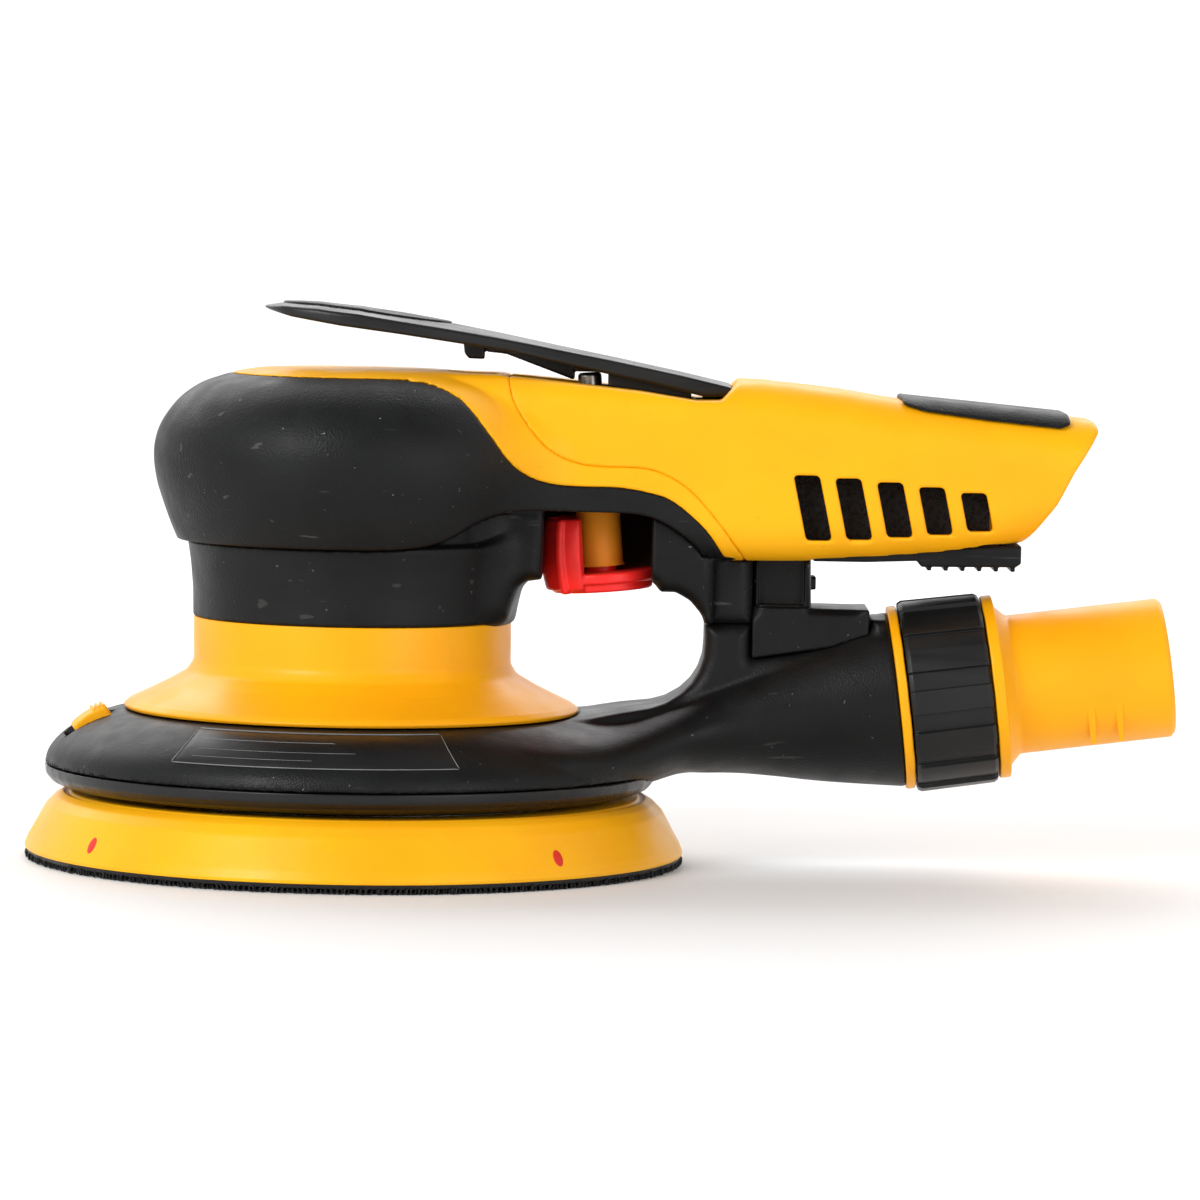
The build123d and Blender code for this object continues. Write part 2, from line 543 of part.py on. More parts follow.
# ---------------------------------------------------------------- air inlet, along the inlet axis
def air_inlet_bushing():
    """Steel bushing with the female thread for the air hose's coupling."""
    body = disc(BUSH_R, -BUSH_LENGTH - 4.0, -4.0) + disc(8.8, -4.0, 0.0)
    body -= disc(THREAD_R, -BUSH_LENGTH, 1.0) + disc(AIR_BORE_R, -BUSH_LENGTH - 5.0, 0.0)
    return INLET * body


def inlet_strainer():
    """Perforated disc behind the bushing."""
    mesh = disc(BUSH_R, -BUSH_LENGTH - 5.0, -BUSH_LENGTH - 4.0)
    holes = ring_of(Pos(0, 0, -BUSH_LENGTH - 4.5) * Cylinder(0.6, 3), 8, 2.4)
    return INLET * (mesh - holes - disc(0.8, -BUSH_LENGTH - 6.0, -BUSH_LENGTH - 3.0))


# ---------------------------------------------------------------- vane motor
CYLINDER_Z = (50.0, 74.0)
CYLINDER_BORE_R, CYLINDER_OFFSET = 17.5, 1.6
MOTOR_R = BORE_R - 0.05
ROTOR_R = 15.6
VANES = 5
VANE_T = 1.5
SHAFT_R, TOP_JOURNAL_R, LOW_JOURNAL_R = 5.5, 4.0, 6.0
TOP_BEARING = (TOP_JOURNAL_R, 11.0, 76.0, 83.0)         # inner radius, outer radius, from Z, to Z
LOW_BEARING = (LOW_JOURNAL_R, 14.0, 42.2, 49.4)
SPINDLE_BEARING = (6.0, 14.0, 17.2, 31.0)


def bearing_outer(bearing):
    r_in, r_out, z0, z1 = bearing
    return disc(r_out, z0, z1, r_out - 0.24 * (r_out - r_in))


def bearing_inner(bearing):
    r_in, r_out, z0, z1 = bearing
    return disc(r_in + 0.24 * (r_out - r_in), z0, z1, r_in)


def bearing_balls(bearing, count, rows=1):
    r_in, r_out, z0, z1 = bearing
    r_ball = 0.24 * (r_out - r_in)
    pitch_r = (r_in + r_out) / 2
    balls = []
    for row in range(rows):
        z = z0 + (z1 - z0) * (row + 0.5) / rows
        balls += ring_of(Pos(0, 0, z) * Sphere(r_ball), count, pitch_r).solids()
    return Compound(balls)


def cylinder_liner():
    """Stator of the vane motor; its bore is off centre, so the vanes make pockets that grow and shrink."""
    body = disc(MOTOR_R, *CYLINDER_Z) - Pos(0, CYLINDER_OFFSET, 0) * disc(CYLINDER_BORE_R, 40, 80)
    for i in range(4):
        body -= Pos(20, 0, 53 + 6 * i) * Rot(0, 90, 0) * Cylinder(1.4, 12)
    return one(body - dowel(0.0))


def dowel(radius_gap):
    return Pos(0, -21.0, 0) * disc(1.5 + radius_gap, 46.0, 78.0)


def cylinder_pin():
    """Dowel that keeps the end plates and the cylinder in line."""
    return dowel(0.0)


def upper_end_plate():
    """End plate over the cylinder, with the upper bearing's seat."""
    r = TOP_BEARING[1]
    body = disc(MOTOR_R, CYLINDER_Z[1], 82.0, TOP_JOURNAL_R + 2.5) - disc(r, TOP_BEARING[2], 90)
    return one(body - oring_groove(78.4) - dowel(0.0))


def lower_end_plate():
    """End plate under the cylinder, with the lower bearing's seat."""
    body = disc(MOTOR_R, 42.0, CYLINDER_Z[0], LOW_JOURNAL_R + 2.5) - disc(LOW_BEARING[1], 30, LOW_BEARING[3])
    return one(body - oring_groove(45.0) - dowel(0.0))


def oring_groove(z):
    return disc(MOTOR_R + 1, z, z + 1.8, MOTOR_R - 1.5)


def end_plate_orings():
    """One seal round each end plate."""
    rings = [disc(MOTOR_R, z + 0.1, z + 1.7, MOTOR_R - 1.45) for z in (45.0, 78.4)]
    return Compound([r for ring in rings for r in ring.solids()])


def lock_ring():
    """Ring that holds the motor in its barrel."""
    body = disc(MOTOR_R, SPIGOT_Z + 0.2, 42.0, 16.0)
    for i in range(4):
        body -= Rot(0, 0, 90 * i) * Pos(20.0, 0, 0) * disc(1.6, 30, 41.0)
    return one(body)


def rotor():
    """Slotted steel rotor."""
    z0, z1 = CYLINDER_Z[0] + GAP, CYLINDER_Z[1] - GAP
    body = disc(ROTOR_R, z0, z1, SHAFT_R)
    for i in range(VANES):
        body -= Rot(0, 0, 360 / VANES * i) * block(8.0, 20.0, -VANE_T / 2 - 0.05, VANE_T / 2 + 0.05, 40, 90)
    return one(body - key_block())


def key_block():
    return Rot(0, 0, 36) * block(SHAFT_R - 1.5, SHAFT_R + 1.5, -1.25, 1.25, 56.0, 68.0)


def rotor_vanes():
    """Five sliding vanes, shown drawn in."""
    z0, z1 = CYLINDER_Z[0] + GAP, CYLINDER_Z[1] - GAP
    vane = block(8.2, ROTOR_R - 0.1, -VANE_T / 2, VANE_T / 2, z0, z1)
    return ring_of(vane, VANES, 0.0)


def rotor_key():
    """Key between the shaft and the rotor."""
    return key_block()


def balancer_shaft():
    """Motor shaft with the eccentric spindle housing and its counterweight at the lower end."""
    body = disc(TOP_JOURNAL_R, CYLINDER_Z[1], 83.6) + disc(SHAFT_R, 49.6, CYLINDER_Z[1])
    body += disc(LOW_JOURNAL_R, 34.0, 49.6) + disc(13.0, 33.0, 36.5)
    housing_r = SPINDLE_BEARING[1] + 3.0
    body += AT_SPINDLE * disc(housing_r, 15.4, 34.0)
    weight = disc(30.0, 19.0, 32.5, 10.0) & (Rot(0, 0, ORBIT_ANGLE + 180) * block(6.0, 40.0, -22.0, 22.0, 0, 60))
    body += weight
    body -= AT_SPINDLE * disc(SPINDLE_BEARING[1], 0, SPINDLE_BEARING[3])
    return one(body - key_block())


def retaining_ring():
    """Snap ring under the spindle bearing."""
    return AT_SPINDLE * disc(SPINDLE_BEARING[1], 16.0, SPINDLE_BEARING[2], 12.4)


# ---------------------------------------------------------------- pad, about the spindle axis
STUD_R = 3.97
PLATE_R, PLATE_Z = 45.8, (10.2, 12.6)
FOAM_SIDE = [(54.4, PAD_TOP_Z), (56.7, 11.7), (58.6, 9.9), (59.6, 7.9), (60.8, 5.9), (61.9, 3.9), (PAD_R, 2.4),
             (PAD_R, HOOK_T)]
DUST_HOLES = [(8, 32.5, 4.5), (8, 19.5, 2.6)]           # count, pitch radius, radius
MARK_PHASE = 40.0


def spindle():
    """Steel spindle in the balancer's bearing, threaded for the pad's stud."""
    body = disc(SPINDLE_BEARING[0], 13.0, 30.6) + disc(11.0, 13.0, 15.2)
    return AT_SPINDLE * (body - disc(STUD_R, 0, 26.0))


def spindle_washer():
    """Spacer between the spindle's flange and the bearing's inner ring."""
    return AT_SPINDLE * disc(7.8, 15.2, SPINDLE_BEARING[2], SPINDLE_BEARING[0])


def pad_plate():
    """Stiff plate moulded in the foam."""
    body = disc(PLATE_R, *PLATE_Z, STUD_R) + disc(11.0, PLATE_Z[1], 13.0, STUD_R)
    body -= disc(12.0, 0, PLATE_Z[0] + 1.0)
    return AT_SPINDLE * (body - dust_holes())


def pad_stud():
    """Threaded stud with its flange under the plate."""
    return AT_SPINDLE * (disc(STUD_R, PLATE_Z[0] - 1.4, 25.0) + disc(12.0, PLATE_Z[0] - 1.4, PLATE_Z[0] + 1.0))


def dust_holes():
    """Cutters for the dust holes."""
    return Compound([h for count, pitch, r in DUST_HOLES for h in ring_of(disc(r, -5, 30), count, pitch).solids()])


def mark_pegs():
    """Four short pegs, level, from the foam's bevel inwards."""
    peg = Pos(0, 0, 5.0) * Rot(0, 90, 0) * Cylinder(1.1, 3.0)
    return ring_of(peg, 4, 59.6, MARK_PHASE)


def pad_foam():
    """Yellow foam pad with a bevelled side."""
    body = turned([(PLATE_R, PAD_TOP_Z), *FOAM_SIDE, (0, HOOK_T), (0, PLATE_Z[0]), (PLATE_R, PLATE_Z[0])])
    body = body - dust_holes() - disc(12.0, PLATE_Z[0] - 1.4, 30) - mark_pegs()
    return AT_SPINDLE * one(body)


def pad_wear_marks():
    """Red plugs in the foam that show when the pad is worn down."""
    bevel = turned([(50.0, HOOK_T), (50.0, PAD_TOP_Z), *FOAM_SIDE])
    return AT_SPINDLE * Compound((mark_pegs() & bevel).solids())


def pad_hook_face():
    """Hook layer that holds the abrasive disc."""
    return AT_SPINDLE * (disc(PAD_R - 0.2, 0.0, HOOK_T) - dust_holes())


# ---------------------------------------------------------------- all sub-parts
def build():
    grip, band, cover = palm_grip(), top_band(), handle_cover()
    return {
        "palm_grip": grip,
        "top_band": band,
        "handle_cover": cover,
        "rear_grip_pad": rear_grip_pad(),
        "exhaust_grille": exhaust_grille(),
        "muffler_foam": muffler_foam(),
        "motor_housing": motor_housing([grip, band, cover]),
        "air_inlet_bushing": air_inlet_bushing(),
        "inlet_strainer": inlet_strainer(),
        "lower_ring": lower_ring(),
        "dust_shroud": dust_shroud(),
        "shroud_latch": shroud_latch(),
        "shroud_lip": shroud_lip(),
        "brake_seal": brake_seal(),
        "name_plate": name_plate(),
        "duct_bracket": duct_bracket(),
        "bracket_screw": bracket_screw(),
        "hose_seat": hose_seat(),
        "hose_seal": hose_seal(),
        "hose_collar": hose_collar(),
        "hose_spigot": hose_spigot(),
        "valve_sleeve": valve_sleeve(),
        "valve_seat": valve_seat(),
        "valve_stem": valve_stem(),
        "valve_poppet": valve_poppet(),
        "valve_spring": valve_spring(),
        "speed_control": speed_control(),
        "speed_control_oring": speed_control_oring(),
        "throttle_lever": throttle_lever(),
        "lever_inlay": lever_inlay(),
        "lever_pin": lever_pin(),
        "cylinder_liner": cylinder_liner(),
        "cylinder_pin": cylinder_pin(),
        "upper_end_plate": upper_end_plate(),
        "lower_end_plate": lower_end_plate(),
        "end_plate_orings": end_plate_orings(),
        "lock_ring": lock_ring(),
        "rotor": rotor(),
        "rotor_vanes": rotor_vanes(),
        "rotor_key": rotor_key(),
        "upper_bearing_outer": bearing_outer(TOP_BEARING),
        "upper_bearing_inner": bearing_inner(TOP_BEARING),
        "upper_bearing_balls": bearing_balls(TOP_BEARING, 9),
        "lower_bearing_outer": bearing_outer(LOW_BEARING),
        "lower_bearing_inner": bearing_inner(LOW_BEARING),
        "lower_bearing_balls": bearing_balls(LOW_BEARING, 10),
        "balancer_shaft": balancer_shaft(),
        "retaining_ring": retaining_ring(),
        "spindle_bearing_outer": AT_SPINDLE * bearing_outer(SPINDLE_BEARING),
        "spindle_bearing_inner": AT_SPINDLE * bearing_inner(SPINDLE_BEARING),
        "spindle_bearing_balls": AT_SPINDLE * bearing_balls(SPINDLE_BEARING, 10, rows=2),
        "spindle": spindle(),
        "spindle_washer": spindle_washer(),
        "pad_plate": pad_plate(),
        "pad_stud": pad_stud(),
        "pad_foam": pad_foam(),
        "pad_wear_marks": pad_wear_marks(),
        "pad_hook_face": pad_hook_face(),
    }


if __name__ == "__main__":
    os.makedirs("parts", exist_ok=True)
    for name, shape in build().items():
        export_step(shape, f"parts/{name}.step")
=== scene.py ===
"""Looks of a palm-grip random orbital sander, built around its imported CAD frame.

Shapes are written in millimetres in the frame's axes and turned into metres when a mesh is made. Moulded
parts are signed-distance fields, meshed and then moved on to the exact surface; turned parts are lathed.
"""
import json
import math

import bpy
import numpy as np
import openvdb
from mathutils import Matrix, Vector


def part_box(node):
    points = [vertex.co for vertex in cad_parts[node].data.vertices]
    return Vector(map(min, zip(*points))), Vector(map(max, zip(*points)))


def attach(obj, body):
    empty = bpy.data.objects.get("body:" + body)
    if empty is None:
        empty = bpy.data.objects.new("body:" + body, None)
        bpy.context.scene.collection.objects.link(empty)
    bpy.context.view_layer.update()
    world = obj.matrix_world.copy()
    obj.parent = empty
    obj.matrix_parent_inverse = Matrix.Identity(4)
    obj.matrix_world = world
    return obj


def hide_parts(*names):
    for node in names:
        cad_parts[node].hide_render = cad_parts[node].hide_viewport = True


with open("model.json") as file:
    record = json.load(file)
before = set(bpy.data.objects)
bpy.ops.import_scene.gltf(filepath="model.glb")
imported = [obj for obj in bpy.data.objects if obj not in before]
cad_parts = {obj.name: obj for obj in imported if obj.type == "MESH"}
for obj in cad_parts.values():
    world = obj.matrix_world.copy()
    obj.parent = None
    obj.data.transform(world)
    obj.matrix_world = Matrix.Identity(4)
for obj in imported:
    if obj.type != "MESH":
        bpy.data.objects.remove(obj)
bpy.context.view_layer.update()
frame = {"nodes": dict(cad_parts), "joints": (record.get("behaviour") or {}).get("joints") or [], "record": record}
MM = 0.001
JOINTS = {joint["name"]: joint for joint in frame["joints"]}


# ---------------------------------------------------------------- axes of the design, read from the frame
def axis_of(joint_name):
    """Origin in millimetres and direction of a joint's axis."""
    joint = JOINTS[joint_name]
    return np.array(joint["pos_m"]) / MM, np.array(joint["axis"], float)


VALVE_AT, VALVE_DIR = axis_of("speed_control_turn")
SWIVEL_MID, SWIVEL_DIR = axis_of("hose_swivel")
SWIVEL_AT = SWIVEL_MID - 30.0 * SWIVEL_DIR
SPINDLE_AT = axis_of("pad_spin")[0]


def place_on(origin, direction):
    """Matrix that carries a piece made about Z to an axis that lies in the XZ plane."""
    across = Vector((0, 1, 0)).cross(Vector(direction))
    turn = Matrix((across, Vector((0, 1, 0)), Vector(direction))).transposed()
    return Matrix.Translation(Vector(origin)) @ turn.to_4x4()


VALVE = place_on(VALVE_AT, VALVE_DIR)
SWIVEL = place_on(SWIVEL_AT, SWIVEL_DIR)
SPINDLE = Matrix.Translation((SPINDLE_AT[0], SPINDLE_AT[1], 0))


# ---------------------------------------------------------------- field helpers
def hyp(a, b):
    return np.sqrt(a * a + b * b)


def join(a, b, r):
    """Union with a fillet."""
    return np.maximum(r, np.minimum(a, b)) - hyp(np.maximum(r - a, 0), np.maximum(r - b, 0))


def meet(a, b, r):
    """Intersection with a rounded edge."""
    return np.minimum(-r, np.maximum(a, b)) + hyp(np.maximum(r + a, 0), np.maximum(r + b, 0))


def cut(a, b, r):
    """a less b, with a rounded edge."""
    return meet(a, -b, r)


def slab(value, low, high):
    return np.maximum(low - value, value - high)


def round_rect(u, v, half_u, half_v, r):
    du, dv = np.abs(u) - half_u + r, np.abs(v) - half_v + r
    return hyp(np.maximum(du, 0), np.maximum(dv, 0)) + np.minimum(np.maximum(du, dv), 0) - r


def ellipse(u, v, half_u, half_v):
    """Nearly the distance to an ellipse."""
    k0 = hyp(u / half_u, v / half_v)
    k1 = hyp(u / half_u ** 2, v / half_v ** 2)
    return k0 * (k0 - 1) / np.maximum(k1, 1e-6)


def fade(value, low, high):
    """Smooth step from 0 at low to 1 at high."""
    t = np.clip((value - low) / (high - low), 0, 1)
    return t * t * (3 - 2 * t)


def curve(points, steps=6):
    """Smooth line through points."""
    p = np.array(points, float)
    p = np.vstack([2 * p[0] - p[1], p, 2 * p[-1] - p[-2]])
    t = np.linspace(0, 1, steps, endpoint=False)[:, None]
    spans = [0.5 * (2 * b + (c - a) * t + (2 * a - 5 * b + 4 * c - d) * t ** 2 + (3 * b - a - 3 * c + d) * t ** 3)
             for a, b, c, d in zip(p, p[1:], p[2:], p[3:])]
    return [tuple(q) for q in np.vstack(spans)] + [tuple(points[-1])]


def rounded(points, radius, steps=5):
    """Closed outline with its corners rounded; radius is one number or one for each corner."""
    out = []
    for i, corner in enumerate(points):
        r = radius[i] if isinstance(radius, (list, tuple)) else radius
        p = Vector(corner)
        a, b = Vector(points[i - 1]) - p, Vector(points[(i + 1) % len(points)]) - p
        half = a.angle(b) / 2
        reach = min(r / max(math.tan(half), 1e-3), 0.48 * a.length, 0.48 * b.length)
        if reach < 1e-3:
            out.append(tuple(p))
            continue
        start, end = p + a.normalized() * reach, p + b.normalized() * reach
        for k in range(steps + 1):
            t = k / steps
            out.append(tuple(start * (1 - t) ** 2 + p * 2 * t * (1 - t) + end * t * t))
    return out


class Outline:
    """Signed distance to a closed outline, negative inside, looked up in a fine table."""

    def __init__(self, points, step=0.25, margin=9.0, low=None, high=None):
        pts = np.array(points, float)
        self.step = step
        self.low = np.array(low if low else pts.min(0) - margin, float)
        high = np.array(high if high else pts.max(0) + margin, float)
        u = np.arange(self.low[0], high[0] + step, step)[:, None]
        v = np.arange(self.low[1], high[1] + step, step)[None, :]
        nearest = np.full((u.size, v.size), 1e9)
        inside = np.zeros(nearest.shape, bool)
        for (au, av), (bu, bv) in zip(pts, np.roll(pts, -1, 0)):
            length2 = (bu - au) ** 2 + (bv - av) ** 2
            if length2 < 1e-12:
                continue
            t = np.clip(((u - au) * (bu - au) + (v - av) * (bv - av)) / length2, 0, 1)
            nearest = np.minimum(nearest, (u - au - (bu - au) * t) ** 2 + (v - av - (bv - av) * t) ** 2)
            if av != bv:
                inside ^= ((av > v) != (bv > v)) & (u < (bu - au) * (v - av) / (bv - av) + au)
        self.table = np.where(inside, -1, 1) * np.sqrt(nearest)

    def __call__(self, u, v):
        i, fu = self._cell(u, 0)
        j, fv = self._cell(v, 1)
        t = self.table
        near = t[i, j] * (1 - fv) + t[i, j + 1] * fv
        far = t[i + 1, j] * (1 - fv) + t[i + 1, j + 1] * fv
        return near * (1 - fu) + far * fu

    def _cell(self, value, axis):
        at = np.clip((value - self.low[axis]) / self.step, 0, self.table.shape[axis] - 1.001)
        index = at.astype(int)
        return index, at - index


# ---------------------------------------------------------------- mesh helpers
def add_piece(name, points, faces, place=None, smooth=True):
    """New object from points in millimetres and faces of three or four corners."""
    mesh = bpy.data.meshes.new(name)
    points = np.asarray(points, float)
    if place is not None:
        matrix = np.array(place)
        points = points @ matrix[:3, :3].T + matrix[:3, 3]
    mesh.from_pydata((points * MM).tolist(), [], [list(map(int, f)) for f in faces])
    mesh.polygons.foreach_set("use_smooth", [smooth] * len(mesh.polygons))
    mesh.validate()
    obj = bpy.data.objects.new(name, mesh)
    bpy.context.scene.collection.objects.link(obj)
    return obj


def gradient(field, v, reach=0.06):
    """Field's value and slope at points."""
    value = field(v[:, 0], v[:, 1], v[:, 2])
    slope = np.empty_like(v)
    for k in range(3):
        a, b = v.copy(), v.copy()
        a[:, k] += reach
        b[:, k] -= reach
        slope[:, k] = (field(a[:, 0], a[:, 1], a[:, 2]) - field(b[:, 0], b[:, 1], b[:, 2])) / (2 * reach)
    return value, slope


def settle(field, v, step, rounds):
    """Moves points on to the field's zero surface."""
    for _ in range(rounds):
        value, slope = gradient(field, v)
        size = np.maximum((slope ** 2).sum(1), 0.05)
        move = np.clip(value / size, -step, step)[:, None] * slope
        v = v - move
    return v


def moulded(name, field, low, high, step=0.5, place=None, relax=2):
    """Piece whose surface is where the field is zero, with evenly spread points."""
    low = np.array(low, float)
    axes = [np.arange(a, b + step, step) for a, b in zip(low, high)]
    values = field(axes[0][:, None, None], axes[1][None, :, None], axes[2][None, None, :])
    band = 3 * step
    values = np.clip(np.broadcast_to(values, [a.size for a in axes]), -band, band).astype(np.float32)
    grid = openvdb.FloatGrid(band)
    grid.copyFromArray(np.ascontiguousarray(values))
    points, _, quads = grid.convertToPolygons(isovalue=0.0, adaptivity=0.0)
    quads = quads.astype(np.int64)
    v = settle(field, points.astype(float) * step + low, step, 2)
    ends = np.concatenate([quads, np.roll(quads, -1, 1)]).T.reshape(-1)
    starts = np.concatenate([np.roll(quads, -1, 1), quads]).T.reshape(-1)
    count = np.maximum(np.bincount(ends, minlength=len(v)), 1)[:, None]
    for _ in range(relax):
        mean = np.stack([np.bincount(ends, v[starts, k], len(v)) for k in range(3)], 1) / count
        v = settle(field, 0.4 * v + 0.6 * mean, step, 2)
    a, b, c, d = (v[quads[:, k]] for k in range(4))
    volume = (np.cross(b - a, c - a) * (a + b + c)).sum() + (np.cross(c - a, d - a) * (a + c + d)).sum()
    if volume < 0:
        quads = quads[:, ::-1]
    return add_piece(name, v, quads, place)


def lathe(name, outline, place=None, turns=160, angles=None):
    """Turned piece about Z from a closed outline of (radius, z); outline may be a function of the angle."""
    angles = angles if angles is not None else [2 * math.pi * k / turns for k in range(turns)]
    rings = [outline(a) if callable(outline) else outline for a in angles]
    n = len(rings[0])
    points = [(r * math.cos(a), r * math.sin(a), z) for a, ring in zip(angles, rings) for r, z in ring]
    area = sum(r0 * z1 - r1 * z0 for (r0, z0), (r1, z1) in zip(rings[0], rings[0][1:] + rings[0][:1]))
    faces = []
    for k in range(len(angles)):
        here, there = k * n, (k + 1) % len(angles) * n
        for i in range(n):
            j = (i + 1) % n
            quad = (here + i, there + i, there + j, here + j)
            faces.append(quad if area > 0 else quad[::-1])
    return add_piece(name, points, faces, place)


def finish_piece(obj, body, material, slot, *nodes):
    """Rides the piece on its body, gives it its material and hides the CAD nodes it stands for."""
    obj.data.materials.clear()
    obj.data.materials.append(material)
    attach(obj, body)
    if nodes:
        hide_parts(*nodes)
    return obj


# ---------------------------------------------------------------- materials
class Graph:
    """Short way to build a node material."""

    def __init__(self, name):
        self.material = bpy.data.materials.new(name)
        self.material.use_nodes = True
        self.tree = self.material.node_tree
        self.tree.nodes.clear()
        self.shader = self.node("ShaderNodeBsdfPrincipled")
        output = self.node("ShaderNodeOutputMaterial")
        self.link(self.shader.outputs["BSDF"], output.inputs["Surface"])
        self.place = self.node("ShaderNodeTexCoord").outputs["Object"]

    def node(self, kind, **settings):
        made = self.tree.nodes.new(kind)
        for key, value in settings.items():
            setattr(made, key, value)
        return made

    def link(self, output, socket):
        self.tree.links.new(output, socket)

    def noise(self, size, detail=2.0, rough=0.5, stretch=(1, 1, 1)):
        """Noise whose features are about size metres."""
        mapping = self.node("ShaderNodeMapping")
        mapping.inputs["Scale"].default_value = stretch
        self.link(self.place, mapping.inputs["Vector"])
        made = self.node("ShaderNodeTexNoise")
        made.inputs["Scale"].default_value = 1 / size
        made.inputs["Detail"].default_value = detail
        made.inputs["Roughness"].default_value = rough
        self.link(mapping.outputs["Vector"], made.inputs["Vector"])
        return made.outputs["Fac"]

    def cells(self, size, feature="F1"):
        made = self.node("ShaderNodeTexVoronoi", feature=feature)
        made.inputs["Scale"].default_value = 1 / size
        self.link(self.place, made.inputs["Vector"])
        return made.outputs["Distance"]

    def remap(self, value, low, high, to_low, to_high):
        made = self.node("ShaderNodeMapRange", clamp=True)
        for key, number in zip(("From Min", "From Max", "To Min", "To Max"), (low, high, to_low, to_high)):
            made.inputs[key].default_value = number
        self.link(value, made.inputs["Value"])
        return made.outputs["Result"]

    def math(self, operation, a, b):
        made = self.node("ShaderNodeMath", operation=operation)
        for socket, value in zip(made.inputs, (a, b)):
            if isinstance(value, (int, float)):
                socket.default_value = value
            else:
                self.link(value, socket)
        return made.outputs[0]

    def mix(self, factor, a, b):
        """Colour a where factor is 0, b where it is 1."""
        made = self.node("ShaderNodeMix", data_type="RGBA")
        self.link(factor, made.inputs["Factor"])
        for socket, value in ((made.inputs[6], a), (made.inputs[7], b)):
            if isinstance(value, tuple):
                socket.default_value = (*value, 1)
            else:
                self.link(value, socket)
        return made.outputs[2]

    def bump(self, height, distance, strength=1.0, under=None):
        made = self.node("ShaderNodeBump")
        made.inputs["Distance"].default_value = distance
        made.inputs["Strength"].default_value = strength
        self.link(height, made.inputs["Height"])
        if under is not None:
            self.link(under, made.inputs["Normal"])
        return made.outputs["Normal"]

    def set(self, **values):
        for key, value in values.items():
            socket = self.shader.inputs[key.replace("_", " ")]
            if isinstance(value, (int, float)):
                socket.default_value = value
            elif isinstance(value, tuple):
                socket.default_value = value if len(socket.default_value) == 3 else (*value, 1)
            else:
                self.link(value, socket)


def black_moulding(name, colour, grain, depth, rough, flecks):
    """Black rubber or nylon: pebbled grain, uneven gloss, dust flecks and a few fine scratches."""
    g = Graph(name)
    pale = tuple(c * 1.8 + 0.001 for c in colour)
    tone = g.remap(g.noise(0.012, 4), 0.35, 0.7, 0.0, 0.7)
    base = g.mix(tone, colour, pale)
    dust = g.remap(g.noise(0.0011, 2, 0.6), 0.735, 0.78, 0.0, flecks)
    base = g.mix(dust, base, (0.30, 0.30, 0.29))
    streak = g.noise(0.0022, 2, 0.5, (0.09, 1.0, 1.0))
    scratch = g.remap(streak, 0.70, 0.73, 0.0, 0.35 * flecks)
    base = g.mix(scratch, base, (0.16, 0.16, 0.155))
    gloss = g.remap(g.noise(0.006, 3), 0.3, 0.7, rough - 0.06, rough + 0.08)
    fine = g.bump(g.cells(grain), depth, 0.8)
    coarse = g.bump(g.noise(grain * 2.2, 3), depth * 1.2, 0.6, fine)
    g.set(Base_Color=base, Roughness=gloss, Normal=coarse, Specular_IOR_Level=0.2)
    return g.material


def yellow_moulding(name, colour, deep, rough, grain=0.00045, depth=0.00002, soft=0.0):
    """Golden nylon: satin skin, slight flow marks, fine specks of dust and rubbed spots."""
    g = Graph(name)
    tone = g.remap(g.noise(0.03, 3), 0.35, 0.68, 0.0, 1.0)
    base = g.mix(tone, colour, deep)
    dirt = g.remap(g.noise(0.0013, 2, 0.6), 0.72, 0.80, 0.0, 0.35)
    base = g.mix(dirt, base, (0.35, 0.17, 0.02))
    smear = g.remap(g.noise(0.009, 5, 0.65), 0.60, 0.78, 0.0, 0.20)
    base = g.mix(smear, base, tuple(c * 0.78 for c in deep))
    gloss = g.remap(g.noise(0.007, 4), 0.3, 0.7, rough - 0.07, rough + 0.09)
    normal = g.bump(g.noise(grain, 3), depth, 0.8)
    normal = g.bump(g.noise(0.004, 2), 0.00004, 0.5, normal)
    g.set(Base_Color=base, Roughness=gloss, Normal=normal, Specular_IOR_Level=0.22)
    g.set(Subsurface_Weight=soft, Subsurface_Scale=0.002, Subsurface_Radius=(1.0, 0.45, 0.08))
    return g.material


def glossy(name, colour, rough, scratch_size=0.004, coat=0.0):
    """Smooth plastic or rubber with uneven gloss and faint drag marks."""
    g = Graph(name)
    tone = g.remap(g.noise(0.008, 3), 0.35, 0.7, 0.0, 1.0)
    base = g.mix(tone, colour, tuple(c * 0.72 for c in colour))
    marks = g.noise(scratch_size, 3, 0.6, (0.15, 1.0, 1.0))
    gloss = g.remap(marks, 0.35, 0.7, rough - 0.08, rough + 0.14)
    normal = g.bump(g.noise(0.0008, 3), 0.00003, 0.5)
    g.set(Base_Color=base, Roughness=gloss, Normal=normal, Coat_Weight=coat, Specular_IOR_Level=0.35)
    return g.material


def metal(name, colour, rough, brushed=(1, 1, 0.06), size=0.0009):
    """Machined metal with turning marks."""
    g = Graph(name)
    marks = g.noise(size, 3, 0.6, brushed)
    base = g.mix(g.remap(marks, 0.3, 0.7, 0, 1), tuple(c * 0.75 for c in colour), colour)
    g.set(Base_Color=base, Metallic=1.0, Roughness=g.remap(marks, 0.3, 0.7, rough, rough + 0.18))
    g.set(Normal=g.bump(marks, 0.00001, 0.6))
    return g.material


def porous(name, colour, size):
    """Open foam, felt or woven plastic."""
    g = Graph(name)
    pore_depth_and_shade = g.remap(g.cells(size), 0.1, 0.6, 0.0, 1.0)
    # Darker cell centres: painted shade in the pores; the same cells also give the bump.
    base = g.mix(pore_depth_and_shade, tuple(c * 0.3 for c in colour), colour)
    g.set(Base_Color=base, Roughness=0.9, Normal=g.bump(pore_depth_and_shade, size * 0.5))
    return g.material


